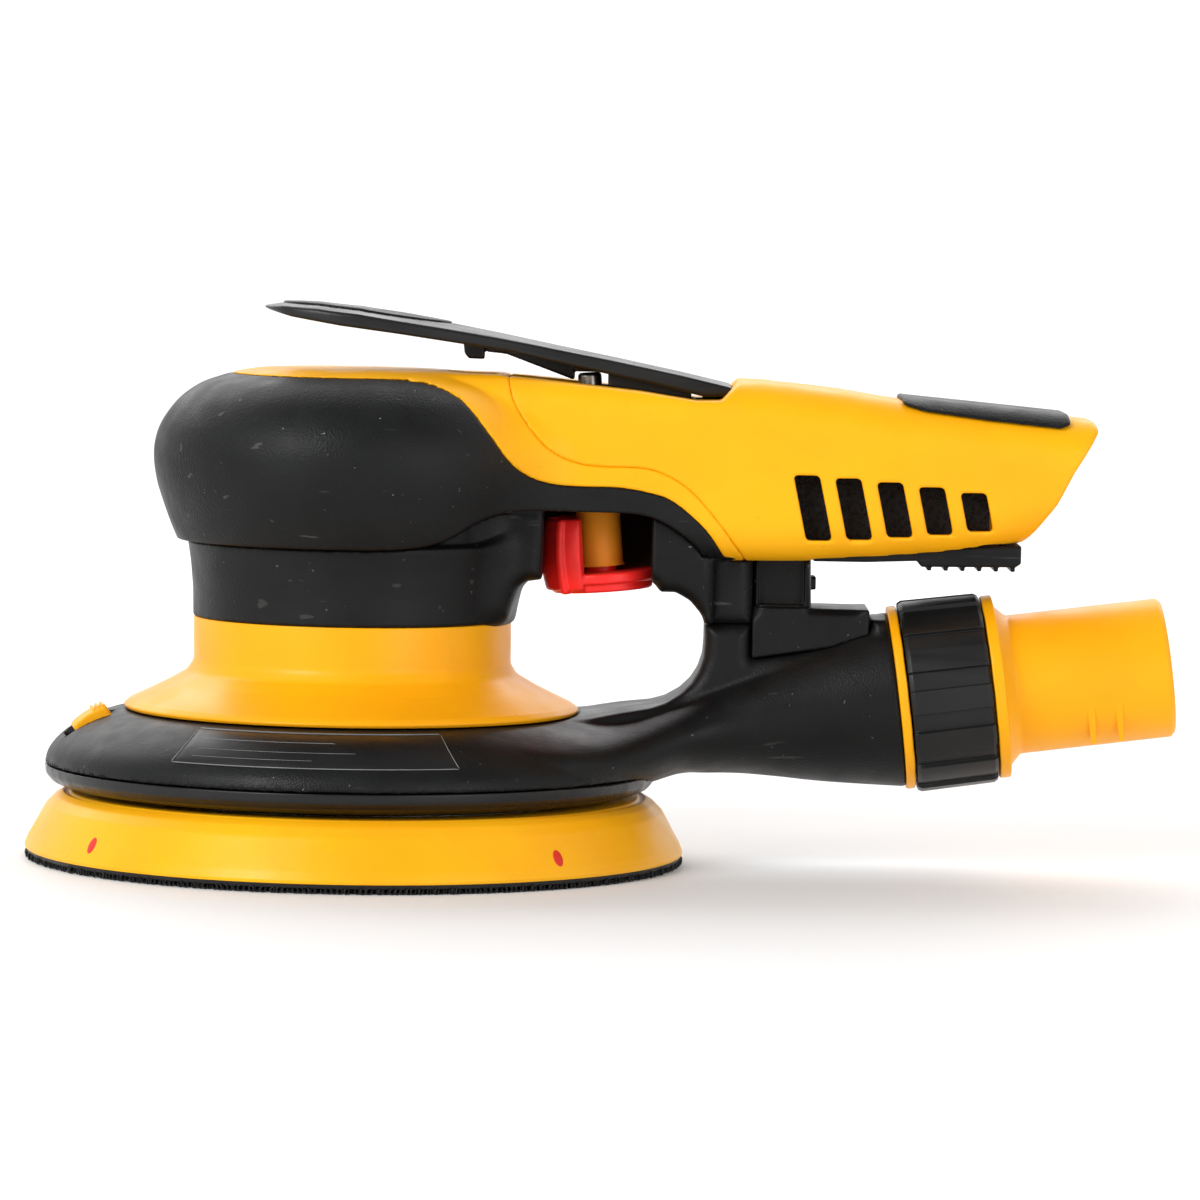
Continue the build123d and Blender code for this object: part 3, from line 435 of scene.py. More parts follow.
YELLOW, YELLOW_DEEP = (1.0, 0.47, 0.004), (0.97, 0.41, 0.004)
MATERIALS = {
    "grip_rubber": black_moulding("grip_rubber", (0.0046, 0.0049, 0.0051), 0.00038, 0.00007, 0.46, 0.75),
    "housing_black": black_moulding("housing_black", (0.0042, 0.0045, 0.0047), 0.00032, 0.00005, 0.42, 0.45),
    "cover_yellow": yellow_moulding("cover_yellow", YELLOW, YELLOW_DEEP, 0.42),
    "ring_yellow": yellow_moulding("ring_yellow", (1.0, 0.44, 0.004), (0.95, 0.38, 0.004), 0.36),
    "foam_yellow": yellow_moulding("foam_yellow", (1.0, 0.48, 0.006), (0.97, 0.41, 0.005), 0.34, 0.0006,
                                   0.00001, 0.15),
    "lever_black": glossy("lever_black", (0.0090, 0.0092, 0.0095), 0.36),
    "control_red": glossy("control_red", (1.0, 0.022, 0.018), 0.38),
    "sleeve_orange": yellow_moulding("sleeve_orange", (1.0, 0.34, 0.02), (0.9, 0.27, 0.015), 0.4),
    "mark_red": glossy("mark_red", (0.84, 0.03, 0.015), 0.5),
    "seal_black": glossy("seal_black", (0.0080, 0.0082, 0.0085), 0.30),
    "plate_black": glossy("plate_black", (0.0075, 0.0076, 0.0080), 0.42),
    "plate_line": glossy("plate_line", (0.20, 0.20, 0.20), 0.5),
    "hook_black": glossy("hook_black", (0.0085, 0.0085, 0.0085), 0.45),
    "muffler": porous("muffler", (0.004, 0.004, 0.004), 0.0009),
    "steel": metal("steel", (0.52, 0.49, 0.45), 0.22),
    "bearing_steel": metal("bearing_steel", (0.66, 0.66, 0.67), 0.12),
    "aluminium": metal("aluminium", (0.78, 0.79, 0.80), 0.25),
    "vane_resin": porous("vane_resin", (0.22, 0.11, 0.05), 0.0012),
    "brass": metal("brass", (0.72, 0.52, 0.22), 0.25),
}

# ---------------------------------------------------------------- upper body: head and handle
HEAD_TOP = 93.1
CORE_R, CORE_TOP = 29.5, 88.5
HEAD_SIDE = [(33.5, 60.3), (34.9, 63.6), (36.3, 67.4), (37.5, 71.2), (38.15, 75.2), (38.0, 78.9), (36.7,
                                                                                                   82.7),
             (33.6, 86.9), (29.7, 89.8), (25.9, 91.3), (22.5, 92.3), (18.0, HEAD_TOP - 0.1), (12.0, HEAD_TOP)]
HEAD = Outline(curve(HEAD_SIDE) + [(-8.0, HEAD_TOP), (-8.0, 60.3)])

HANDLE_TOP = curve([(0, 93.1), (28, 92.6), (72, 92.2), (80, 91.8), (92, 90.6), (103, 89.0), (120, 87.5),
                    (145, 85.3)])
HANDLE_BOTTOM = curve([(0, 58.6), (75, 58.5), (92, 59.0), (106, 59.8), (116, 60.9), (126, 62.7), (145, 67.0)])
HANDLE_HALF = curve([(0, 17.2), (28, 17.4), (74, 18.0), (106, 17.8), (128, 16.7), (145, 15.4)])
HANDLE_CORNER = [(0, 4.5), (28, 5.5), (74, 7.5), (106, 8.5), (145, 8.0)]
WALL = 2.6


def along_x(x, table):
    return np.interp(x, [p[0] for p in table], [p[1] for p in table])


def handle_form(x, y, z, inset=0.0):
    """Distance to the handle's outer form, or to one inset from it."""
    top, bottom = along_x(x, HANDLE_TOP), along_x(x, HANDLE_BOTTOM)
    corner = np.maximum(along_x(x, HANDLE_CORNER) - inset, 1.0)
    half = along_x(x, HANDLE_HALF) - inset
    section = round_rect(y, z - (top + bottom) / 2, half, (top - bottom) / 2 - inset, corner)
    return np.maximum(section, 2.0 - x)


REAR_END = Outline(rounded([(121.0, 52.0), (125.6, 61.4), (128.6, 65.0), (132.5, 70.2), (135.6, 76.2),
                            (138.7, 81.2),
                            (140.3, 84.0), (138.8, 88.0), (138.8, 99.0), (165.0, 99.0), (165.0, 52.0)],
                           [0, 1, 3, 3, 3, 2, 1.2, 0.5, 0, 0, 0]))
LEVER_BED = Outline(rounded([(24.0, 99.0), (28.2, 92.5), (38.8, 91.6), (53.8, 90.1), (64.5, 88.5), (69.2,
                                                                                                    88.6),
                             (72.3, 92.0), (73.2, 99.0)], [0, 0.3, 1, 1, 2, 1, 1, 0]))


def upper_form(x, y, z):
    """Head and handle together, with a fillet where the handle leaves the head."""
    head = HEAD(hyp(x, y), z)
    blend = 0.3 + 9.0 * fade(-z, -91.0, -78.0) * fade(z, 60.0, 68.0)
    return cut(join(head, handle_form(x, y, z), blend), REAR_END(x, z), 0.6)


# Parting lines in the XZ plane.
COVER_SEAM = [(28.9, 93.8), (30.0, 88.4), (32.7, 83.8), (36.0, 79.9), (39.5, 77.6), (43.1, 76.4), (46.6,
                                                                                                   76.0),
              (53.9, 75.9), (58.3, 74.9), (62.8, 72.4), (66.6, 68.7), (70.4, 64.0), (75.4, 57.0)]
BAND_SEAM = [(-25.0, 91.9), (-9.0, 91.8), (5.0, 91.75), (11.7, 91.4), (16.7, 90.2), (21.2, 87.6), (25.8,
                                                                                                   82.1),
             (29.5, 77.0), (33.1, 74.2), (37.4, 72.7), (43.0, 72.2), (50.0, 72.1), (55.5, 71.3), (60.5, 69.6),
             (66.7, 64.3), (71.2, 57.6)]
SKIRT_SEAM = [(4.0, 60.3), (10.1, 60.6), (15.1, 61.3), (19.2, 62.8), (23.5, 65.3), (27.5, 66.8), (32.5, 67.5),
              (44.6, 67.4), (53.3, 67.2), (57.9, 66.0), (62.0, 63.6), (65.2, 60.8), (66.8, 57.2)]
SPAN = {"low": (-66.0, 40.0), "high": (166.0, 112.0)}
BAND_MASK = Outline(curve(BAND_SEAM) + [(74.0, 55.0)] + curve(COVER_SEAM)[::-1] + [(28.9, 110), (-60, 110),
                                                                                   (-60, 91.9)],
                    **SPAN)
COVER_MASK = Outline(curve(COVER_SEAM) + [(75.4, 45), (162, 45), (162, 110), (28.9, 110)], **SPAN)
GRIP_MASK = Outline(curve(BAND_SEAM) + [(73.0, 54.0), (66.9, 54.0)] + curve(SKIRT_SEAM)[::-1] + [(-60, 60.3),
                                                                                                 (-60, 91.9)],
                    **SPAN)
SEAM_R = 0.32
WELL_HALF = 6.7


def stem_well(x, y, z):
    """Well in the lever's bed for the rib and the valve stem."""
    well = np.maximum(round_rect(x - 46.4, y, 17.8, WELL_HALF, 2.0), 86.6 - z)
    slot = np.maximum(round_rect(x - 68.5, y, 3.5, 3.4, 0.5), 82.7 - z)
    tab = np.maximum(round_rect(x - 22.2, y, 4.8, 3.6, 1.0), 90.0 - z)
    return np.minimum(np.minimum(well, slot), tab)


LEG_X, LEG_BACK, LEG_BOTTOM, LEG_HALF = 66.9, 75.8, 46.3, 10.0
LEG_SIDE = Outline([(LEG_X - 0.1, 62.0), (LEG_X, LEG_BOTTOM), (LEG_BACK, LEG_BOTTOM), (LEG_BACK, 59.4),
                    (73.0, 62.0)])


def core(x, y, z):
    return np.maximum(hyp(x, y) - CORE_R, z - CORE_TOP)


def palm_grip(x, y, z):
    body = meet(upper_form(x, y, z), GRIP_MASK(x, z), SEAM_R)
    body = cut(body, core(x, y, z), 0.2)
    body = cut(body, handle_form(x, y, z, WALL), 0.2)
    leg = meet(LEG_SIDE(x, z), np.abs(y) - LEG_HALF, 2.6)
    leg = cut(leg, np.maximum(upper_form(x, y, z), np.minimum(COVER_MASK(x, z), BAND_MASK(x, z))), SEAM_R)
    return join(body, leg, 0.8)


def top_band(x, y, z):
    body = meet(upper_form(x, y, z), BAND_MASK(x, z), SEAM_R)
    body = cut(body, LEVER_BED(x, z), 0.35)
    body = cut(body, stem_well(x, y, z), 0.3)
    return cut(np.maximum(body, -core(x, y, z)), handle_form(x, y, z, WALL), 0.2)


VENTS = [(86.6, 68.9, 12.3), (94.3, 68.8, 11.6), (102.0, 68.8, 10.4), (109.7, 68.7, 9.0), (117.4, 68.6, 7.3)]
VENT_HALF, VENT_LEAN = 2.45, math.tan(math.radians(12.0))


def vents(x, z):
    """Five leaning slots with level ends."""
    slots = [round_rect(x - vx + (z - vz) * VENT_LEAN, z - vz, VENT_HALF, height / 2, 0.8)
             for vx, vz, height in VENTS]
    return np.minimum.reduce(slots)


CAVITY_X = 77.0
VALVE_ROOM_R, VALVE_ROOM_TOP = 4.6, 27.0         # clears the valve, along its axis


def handle_cover(x, y, z):
    body = meet(upper_form(x, y, z), COVER_MASK(x, z), SEAM_R)
    body = cut(body, LEVER_BED(x, z), 0.45)
    body = cut(body, stem_well(x, y, z), 0.3)
    u, valve_r = on_valve(x, y, z)
    body = np.maximum(body, -np.maximum(valve_r - VALVE_ROOM_R, u - VALVE_ROOM_TOP))
    cavity = meet(handle_form(x, y, z, WALL), CAVITY_X - x, 2.0)
    body = cut(body, cavity, 0.4)
    grille = np.maximum(round_rect(x - 106.7, y, 19.9, 12.2, 1.0), z - 62.4)
    body = cut(body, grille, 0.3)
    return cut(body, vents(x, z), 0.4)


STRIP_SIDE = Outline(rounded([(103.9, 96.0), (103.2, 88.5), (107.3, 87.35), (119.5, 85.8), (133.0, 84.5),
                              (134.9, 85.2),
                              (134.4, 88.4), (133.6, 96.0)], [0, 0.8, 3, 3, 0.8, 0.6, 0.6, 0]))


def rear_grip_pad(x, y, z):
    proud = 0.95
    layer = np.maximum(handle_form(x, y, z) - proud, -handle_form(x, y, z) - 0.3)
    return meet(layer, STRIP_SIDE(x, z), 0.45)


# ---------------------------------------------------------------- housing below the grip
NECK = Outline(rounded([(24.0, 88.0), (24.0, 38.6), (27.0, 38.6), (27.0, 45.8), (30.35, 45.8), (30.45, 51.0),
                        (30.9, 56.0), (31.6, 60.6), (29.4, 61.0), (29.4, 88.0)], [0, 0, 0, 0, 0.4, 3, 3, 0.6,
                                                                                  0, 0]))
FRONT_SIDE = Outline(rounded([(22.0, 69.0), (22.0, 48.0), (29.0, 48.0), (30.2, 50.6), (31.4, 53.0), (33.2,
                                                                                                     53.9),
                              (36.2, 54.3), (38.0, 69.0)], [0, 0, 0, 3, 3, 3, 0.8, 0]))
BOSS_SIDE = Outline(rounded([(50.0, 69.0), (54.0, 54.0), (57.1, 53.9), (58.4, 52.3), (61.2, 52.3), (63.9,
                                                                                                    50.8),
                             (66.1, 48.2), (66.8, 46.3), (68.5, 46.3), (68.5, 58.0), (74.0, 59.0), (74.0,
                                                                                                    69.0)],
                            [0, 0, 0.5, 0.5, 2, 4, 4, 0, 0, 0, 0, 0]))
POCKET_R = 12.5


def on_valve(x, y, z):
    """Height along the valve's axis and distance from it."""
    dx, dz = x - VALVE_AT[0], z - VALVE_AT[2]
    return dx * VALVE_DIR[0] + dz * VALVE_DIR[2], hyp(dx * VALVE_DIR[2] - dz * VALVE_DIR[0], y)


def motor_housing(x, y, z):
    neck = NECK(hyp(x, y), z)
    side = np.abs(y) - 14.6
    front = meet(FRONT_SIDE(x, z), side, 3.0)
    boss = meet(BOSS_SIDE(x, z), side + 1.2 * fade(-z, -58.0, -48.0), 2.6)
    ceiling = np.maximum(handle_form(x, y, z, WALL + 0.05), slab(x, 26.0, 75.0))
    ceiling = np.maximum(ceiling, 67.4 - z)
    ceiling = cut(cut(ceiling, LEVER_BED(x, z) - 0.1, 0.2), stem_well(x, y, z), 0.3)
    u, r = on_valve(x, y, z)
    pocket = np.maximum(r - POCKET_R, u - 7.4)
    sides = np.maximum(np.maximum(slab(x, 36.2, 56.6), z - 67.4), np.maximum(40.0 - z, y))
    wall = np.maximum(slab(x, 33.0, 60.0), np.maximum(slab(y, 8.0, 14.4), slab(z, 54.2, 68.0)))
    lower = np.minimum(join(join(neck, front, 5.0), boss, 1.0), wall)
    lower = cut(lower, pocket, 0.6)
    lower = cut(lower, sides, 0.6)
    lower = np.maximum(lower, -np.maximum(hyp(x, y) - 24.0, z - 84.5))
    lower = np.maximum(lower, -meet(LEG_SIDE(x, z) - 0.05, np.abs(y) - LEG_HALF - 0.05, 2.6))
    skins = np.maximum(upper_form(x, y, z), np.minimum(GRIP_MASK(x, z), COVER_MASK(x, z)))
    lower = cut(lower, skins - 0.05, 0.2)
    body = np.minimum(lower, ceiling)
    return np.maximum(body, 2.9 - r - 1000 * (u < -4))


# ---------------------------------------------------------------- shroud, duct and leg
SHROUD_SIDE = [(42.9, 27.95), (46.0, 27.4), (49.6, 26.2), (52.8, 24.5), (55.6, 22.3), (57.4, 20.0), (58.1,
                                                                                                     17.7)]
SHROUD = Outline(curve(SHROUD_SIDE) + [(55.8, 17.7), (55.2, 19.4), (53.4, 21.4), (50.6, 23.2), (46.0, 25.2),
                                       (33.0, 25.4), (33.0, 27.95)])
# X, centre Z, half height and half width of the duct.
DUCT = [(14.0, 24.0, 3.0, 40.0), (22.0, 24.6, 3.4, 41.0), (29.0, 23.7, 4.6, 41.6), (36.0, 22.3, 5.9, 41.0),
        (42.7, 21.4, 6.9, 38.0), (48.0, 21.1, 7.1, 33.4), (54.9, 22.0, 7.2, 26.0), (62.5, 24.4, 7.3, 20.0),
        (68.0, 26.0, 8.7, 17.3), (74.0, 27.5, 10.2, 16.0), (81.2, 29.0, 12.2, 15.5), (88.7, 30.1, 14.0, 15.6),
        (96.0, 31.3, 15.6, 16.1), (106.0, 32.4, 17.1, 16.9)]
DUCT_CENTRE = curve([(d[0], d[1]) for d in DUCT])
DUCT_RISE = curve([(d[0], d[2]) for d in DUCT])
DUCT_HALF = curve([(d[0], d[3]) for d in DUCT])
SPINE_SIDE = Outline(rounded([(40.0, 22.0), (41.0, 27.6), (51.2, 29.5), (56.9, 30.3), (59.7, 31.2), (62.5,
                                                                                                     32.9),
                              (64.6, 35.0), (65.9, 37.2), (66.7, 39.8), (66.9, 42.6), (66.9, LEG_BOTTOM),
                              (LEG_BACK, LEG_BOTTOM), (LEG_BACK, 39.8), (97.8, 43.2), (98.4, 47.6), (101.4,
                                                                                                     47.6),
                              (103.0, 30.0)],
                             [0, 0, 3, 3, 3, 3, 3, 3, 3, 3, 0.2, 0.2, 0.2, 0.2, 0.3, 0.6, 0]))


def duct_form(x, y, z, inset=0.0):
    return ellipse(y, z - along_x(x, DUCT_CENTRE), along_x(x, DUCT_HALF) - inset, along_x(x,
                                                                                          DUCT_RISE) - inset)


def on_swivel(x, y, z):
    dx, dz = x - SWIVEL_AT[0], z - SWIVEL_AT[2]
    return dx * SWIVEL_DIR[0] + dz * SWIVEL_DIR[2], hyp(dx * SWIVEL_DIR[2] - dz * SWIVEL_DIR[0], y)


LATCH_BOX = [(a + b) / 2 / MM for a, b in zip(*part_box("shroud_latch"))]
LATCH_SLOPE = -np.array(JOINTS["latch_slide"]["axis"], float)
LATCH_ACROSS = np.cross((0.0, 0.0, 1.0), LATCH_SLOPE)
LATCH_ACROSS /= np.linalg.norm(LATCH_ACROSS)
LATCH_OUT = np.cross(LATCH_SLOPE, LATCH_ACROSS)


def on_latch(x, y, z):
    """Place along the slope, across it and out of it."""
    d = (x - LATCH_BOX[0], y - LATCH_BOX[1], z - LATCH_BOX[2])
    return [d[0] * v[0] + d[1] * v[1] + d[2] * v[2] for v in (LATCH_SLOPE, LATCH_ACROSS, LATCH_OUT)]


RING_SEAT_R, RING_SEAT_Z = 43.45, 27.95         # where the yellow ring sits on the shroud
ROOM_R, ROOM_TOP = 50.0, 25.2                   # space over the pad
EYE_R = 33.0                                    # opening for the motor and the balancer


def dust_shroud(x, y, z):
    r = hyp(x, y)
    u, swivel_r = on_swivel(x, y, z)
    duct = np.maximum(duct_form(x, y, z), 16.0 - x)
    skin = SHROUD(r, z)
    body = join(skin, duct, 0.8)
    spine_half = LEG_HALF + 6.0 * fade(-x, -66.0, -44.0)
    spine = meet(SPINE_SIDE(x, z), np.abs(y) - spine_half, 1.6 + 1.4 * fade(x, 56.0, 70.0))
    body = join(body, spine, 0.9)
    body = np.maximum(body, -np.maximum(r - RING_SEAT_R, RING_SEAT_Z - z))
    body = np.maximum(body, -np.maximum(r - ROOM_R, z - ROOM_TOP))
    body = np.maximum(body, EYE_R - r)
    body = np.maximum(body, -np.maximum(duct_form(x, y, z, 2.2), 49.5 - x))
    body = meet(body, u, 0.5)
    body = np.maximum(body, -np.maximum(r - 58.3, z - 17.7))
    nose = meet(meet(swivel_r - 14.0, slab(u, -4.0, 12.0), 0.5), 11.2 - swivel_r, 0.4)
    body = np.minimum(body, nose)
    slope, across, out = on_latch(x, y, z)
    pocket = np.maximum(round_rect(slope, across, 5.7, 4.3, 0.4), np.abs(out + 0.2) - 1.6)
    return cut(body, pocket, 0.25)


def shroud_latch(x, y, z):
    slope, across, out = on_latch(x, y, z)
    sag = 0.035 * slope ** 2
    plate = meet(round_rect(slope, across, 3.7, 3.9, 0.8), slab(out + sag, -1.3, 1.1), 0.35)
    for k in range(3):
        rib = meet(round_rect(slope - 1.3 - 0.95 * k, across, 0.3, 3.5, 0.2), slab(out + sag, 0.6, 1.6), 0.15)
        plate = join(plate, rib, 0.15)
    return plate


BRACKET_SIDE = Outline(rounded([(75.85, 39.9), (97.8, 43.3), (98.0, 49.4), (87.0, 49.5), (86.8, 58.9),
                                (75.85, 58.9)],
                               [0.2, 0.2, 0.5, 0.4, 0.4, 0.2]))


def duct_bracket(x, y, z):
    half = np.where(z > 49.6, 8.0, LEG_HALF - 0.4)
    top = fade(z, 46.5, 49.0) * fade(-x, -98.0, -95.0)
    body = meet(BRACKET_SIDE(x, z), np.abs(y) - half, 0.3 + 2.2 * top)
    recess = np.maximum(round_rect(x - 81.3, z - 55.0, 4.4, 5.0, 0.4), 5.6 - np.abs(y))
    body = cut(body, recess, 0.2)
    tab = meet(round_rect(x - 87.2, z - 53.9, 0.75, 1.25, 0.2), np.abs(y) - 2.5, 0.2)
    body = np.minimum(body, tab)
    return np.maximum(body, -duct_form(x, y, z) + 0.05)


def exhaust_grille(x, y, z):
    plate = meet(Outline_GRILLE(x, z), np.abs(y) - 12.0, 0.6)
    for k in range(6):
        rib = round_rect(x - 108.9 - 3.15 * k, z - 58.0, 0.42, 0.75, 0.2)
        plate = join(plate, meet(rib, np.abs(y) - 11.6, 0.2), 0.2)
    for k in range(5):
        slot = np.maximum(round_rect(x - 110.5 - 3.15 * k, y, 0.8, 10.0, 0.7), z - 70)
        plate = cut(plate, slot, 0.15)
    return plate


Outline_GRILLE = Outline(rounded([(87.0, 58.6), (97.0, 58.6), (106.6, 59.0), (107.4, 57.9), (125.2, 58.1),
                                  (126.2, 58.8),
                                  (126.2, 62.2), (106.0, 61.4), (87.0, 61.0)], 0.3))


# ---------------------------------------------------------------- lever
LEVER_TOP = [(-17.0, 104.9), (-13.8, 105.45), (-7.1, 105.5), (0.5, 104.9), (8.1, 103.7), (15.7, 102.45),
             (27.1, 100.35), (38.5, 98.1), (50.0, 95.9), (61.4, 93.6), (70.8, 91.5)]
LEVER_LOW = [(70.6, 89.3), (66.0, 89.1), (54.4, 91.7), (41.3, 94.4), (28.3, 97.2), (19.9, 98.4), (8.6, 100.0),
             (-2.7, 101.4), (-12.1, 102.9), (-16.6, 104.1)]
LEVER_PLAN = [(71.2, 8.9), (55.0, 9.1), (38.0, 9.9), (24.0, 11.7), (12.0, 13.6), (2.0, 14.2), (-6.0, 13.2),
              (-12.5, 10.2), (-16.4, 5.6), (-17.8, 0.0)]
LEVER_UNDER_TOP = Outline(LEVER_TOP + [(74.0, 90.9), (74.0, 80.0), (-22.0, 80.0), (-22.0, 104.0)])
LEVER_OVER_LOW = Outline([(74.0, 89.6)] + LEVER_LOW + [(-20.0, 104.9), (-20.0, 112.0), (74.0, 112.0)])
LEVER_PLAN_FORM = Outline(curve(LEVER_PLAN) + [(u, -v) for u, v in curve(LEVER_PLAN)[::-1][1:]])
LEVER_CHANNEL = Outline([(24.0, 84.0), (24.0, 98.9), (60.0, 92.0), (73.0, 90.0), (73.0, 84.0)])
LEVER_RIB = Outline([(26.4, 99.2), (28.0, 96.5), (40.9, 91.8), (41.5, 91.8), (41.5, 96.4)])
LEVER_TAB = Outline(rounded([(20.0, 100.4), (20.5, 96.4), (21.3, 95.4), (24.3, 95.3), (24.4, 100.0)],
                            [0, 0.6, 0.4, 0.3, 0]))
LEVER_LUG = Outline([(24.4, 99.8), (24.7, 96.7), (28.1, 96.4), (29.5, 98.9)])
LEVER_WEB = Outline([(47.8, 94.6), (47.8, 90.4), (63.6, 88.4), (63.6, 91.6)])
CROWN = 0.0065


def throttle_lever(x, y, z):
    top = LEVER_UNDER_TOP(x, z + CROWN * y * y)
    body = meet(meet(top, LEVER_OVER_LOW(x, z), 0.5), LEVER_PLAN_FORM(x, y), 0.6)
    channel = np.maximum(LEVER_CHANNEL(x, z), np.abs(y) - 6.4)
    body = cut(body, channel, 0.3)
    for outline, half in ((LEVER_RIB, 1.5), (LEVER_TAB, 2.2), (LEVER_LUG, 1.6)):
        body = join(body, meet(outline(x, z), np.abs(y) - half, 0.25), 0.3)
    pad = round_rect(x - 44.5, z - 94.3, 3.1, 0.9, 0.2)
    web = meet(LEVER_WEB(x, z), np.abs(y) - 6.2, 0.3)
    body = np.minimum(body, np.minimum(np.maximum(pad, np.abs(y) - 6.4), web))
    shank = np.maximum(round_rect(x - 68.4, z - 88.3, 2.6, 2.8, 0.3), np.abs(y) - 3.1)
    hub = meet(hyp(x - 68.5, z - 85.6) - 2.6, np.abs(y) - 3.1, 0.3)
    body = np.minimum(body, np.minimum(shank, hub))
    groove = np.abs(ellipse(x - 2.0, y, 16.4, 9.7)) - 0.3
    top_side = np.abs(top) - 0.35
    return cut(body, np.maximum(np.maximum(groove, top_side), 97.0 - z), 0.1)


def lever_inlay(x, y, z):
    top = LEVER_UNDER_TOP(x, z + CROWN * y * y)
    layer = np.maximum(slab(top, -0.5, 0.3), 97.0 - z)
    dimple = 0.4 * fade(-hyp(x + 1.0, y * 1.3), -11.0, -3.0)
    return meet(np.maximum(layer, top - 0.3 + dimple), ellipse(x - 2.0, y, 16.0, 9.3), 0.3)


# ---------------------------------------------------------------- speed control, in the valve's axes
FINGER_R, FINGER_HALF = 11.3, math.radians(70.0)


def speed_control(x, y, z):
    r = hyp(x, y)
    angle = np.arctan2(np.abs(y), -x)
    hub = meet(r - 10.4, slab(z, -6.6, -4.6), 0.5)
    hub = join(hub, meet(r - 9.5, slab(z, -8.2, -6.2), 0.5), 0.2)
    hub = join(hub, meet(r - 2.8, slab(z, -5.0, -1.9), 0.2), 0.2)
    bulge = 0.55 - 0.018 * (z + 1.0) ** 2
    sector = (angle - FINGER_HALF) * r
    wall = meet(slab(r, FINGER_R - 2.2, FINGER_R - 0.4 + bulge), slab(z, -7.6, 6.0), 0.55)
    wall = meet(wall, sector, 0.5)
    ridge_at = np.abs(angle - FINGER_HALF + 0.36) * r
    ridge = meet(meet(slab(r, 9.6, FINGER_R + 0.55 + bulge), slab(z, -8.2, 6.0), 0.5), ridge_at - 0.75, 0.5)
    return join(join(hub, wall, 0.4), ridge, 0.35)


# ---------------------------------------------------------------- make the moulded pieces
def make_moulded():
    rows = [
        ("palm_grip_skin", palm_grip, (-39.5, -39.5, 45), (77.5, 39.5, 94), 0.55, "root", "grip_rubber",
         "palm_grip"),
        ("top_band_skin", top_band, (-27, -27, 56), (77, 27, 94.2), 0.5, "root", "cover_yellow", "top_band"),
        ("handle_cover_shell", handle_cover, (27.5, -19, 57), (143, 19, 93.6), 0.5, "root", "cover_yellow",
         "handle_cover"),
        ("rear_grip_strip", rear_grip_pad, (102, -20, 83.6), (136.5, 20, 91.5), 0.35, "root", "grip_rubber",
         "rear_grip_pad"),
        ("housing_body", motor_housing, (-32.5, -32.5, 38), (76, 32.5, 92), 0.55, "root", "housing_black",
         "motor_housing"),
        ("shroud_and_duct", dust_shroud, (-59.5, -59.5, 14), (118, 59.5, 49), 0.6, "root", "housing_black",
         "dust_shroud"),
        ("shroud_catch", shroud_latch, (-56, -14, 20), (-42, -1, 32), 0.2, "latch", "cover_yellow",
         "shroud_latch"),
        ("bracket_block", duct_bracket, (75, -11, 39), (99, 11, 59), 0.35, "root", "housing_black",
         "duct_bracket"),
        ("grille_plate", exhaust_grille, (86, -13, 56.5), (127.5, 13, 63), 0.28, "root", "housing_black",
         "exhaust_grille"),
        ("lever_paddle", throttle_lever, (-18.5, -15.5, 82), (72.5, 15.5, 107), 0.4, "lever", "lever_black",
         "throttle_lever"),
        ("lever_patch", lever_inlay, (-15, -11.5, 97), (31, 11.5, 107), 0.35, "lever", "grip_rubber",
         "lever_inlay"),
    ]
    for name, field, low, high, step, body, finish, node in rows:
        finish_piece(moulded(name, field, low, high, step), body, MATERIALS[finish], finish, node)
    control = moulded("speed_lever", speed_control, (-13.5, -12.5, -9), (11.5, 12.5, 7), 0.25, VALVE)
    finish_piece(control, "control", MATERIALS["control_red"], "control_red", "speed_control")


# ---------------------------------------------------------------- turned pieces
RING = rounded([(30.2, 45.8), (30.2, 37.4), (31.4, 35.4), (35.0, 33.3), (38.8, 31.4), (42.2, 29.8), (43.35,
                                                                                                     28.9),
                (42.9, 28.25), (39.6, 28.1), (36.0, 30.2), (32.0, 32.6), (28.6, 34.8), (27.05, 37.0), (27.05,
                                                                                                       45.8)],
               [0.35, 2.5, 3, 4, 4, 1.2, 0.5, 0.3, 0, 0, 0, 0, 0, 0.3])
LIP = rounded([(58.1, 17.5), (57.95, 15.8), (56.9, 14.5), (55.0, 13.7), (52.8, 13.3), (52.4, 13.9), (54.4,
                                                                                                     14.9),
               (55.4, 16.0), (55.8, 17.5)], [0.3, 1.5, 1.5, 1, 0.3, 0.3, 1, 1, 0.2])
SEAL = rounded([(51.4, 24.0), (51.4, 14.4), (50.4, 12.95), (49.2, 12.95), (49.6, 14.4), (49.6, 24.0)],
               [0, 0.6, 0.3, 0.3, 0.6, 0])
FOAM = rounded([(45.9, 12.6), (53.9, 12.6), (54.3, 12.1), (54.9, 12.1), (55.3, 12.5), (56.9, 11.6), (58.6,
                                                                                                     9.9),
                (59.7, 7.9), (60.8, 5.9), (61.9, 3.9), (62.5, 2.4), (62.45, 1.8), (1.0, 1.8), (1.0, 8.6),
                (45.9, 8.6)],
               [0.2, 0.5, 0.2, 0.2, 0.6, 1.5, 3, 4, 4, 4, 0.5, 0.2, 0, 0, 0])
SEAT = rounded([(17.5, 0.05), (17.5, 1.85), (14.0, 1.85), (14.0, 0.05)], [0.5, 0.5, 0.1, 0.1])
SPIGOT_R = 13.25
SPIGOT = rounded([(11.25, 13.0), (15.2, 13.0), (15.2, 15.0), (13.3, 15.0), (13.3, 18.0), (17.45, 18.0),
                  (17.45, 20.1),
                  (15.5, 20.2), (SPIGOT_R, 22.4), (SPIGOT_R, 51.2), (12.5, 52.0), (11.25, 52.0)],
                 [0.2, 0.2, 0.2, 0.2, 0.2, 0.4, 0.4, 0.5, 1.2, 0.5, 0.4, 0.3])
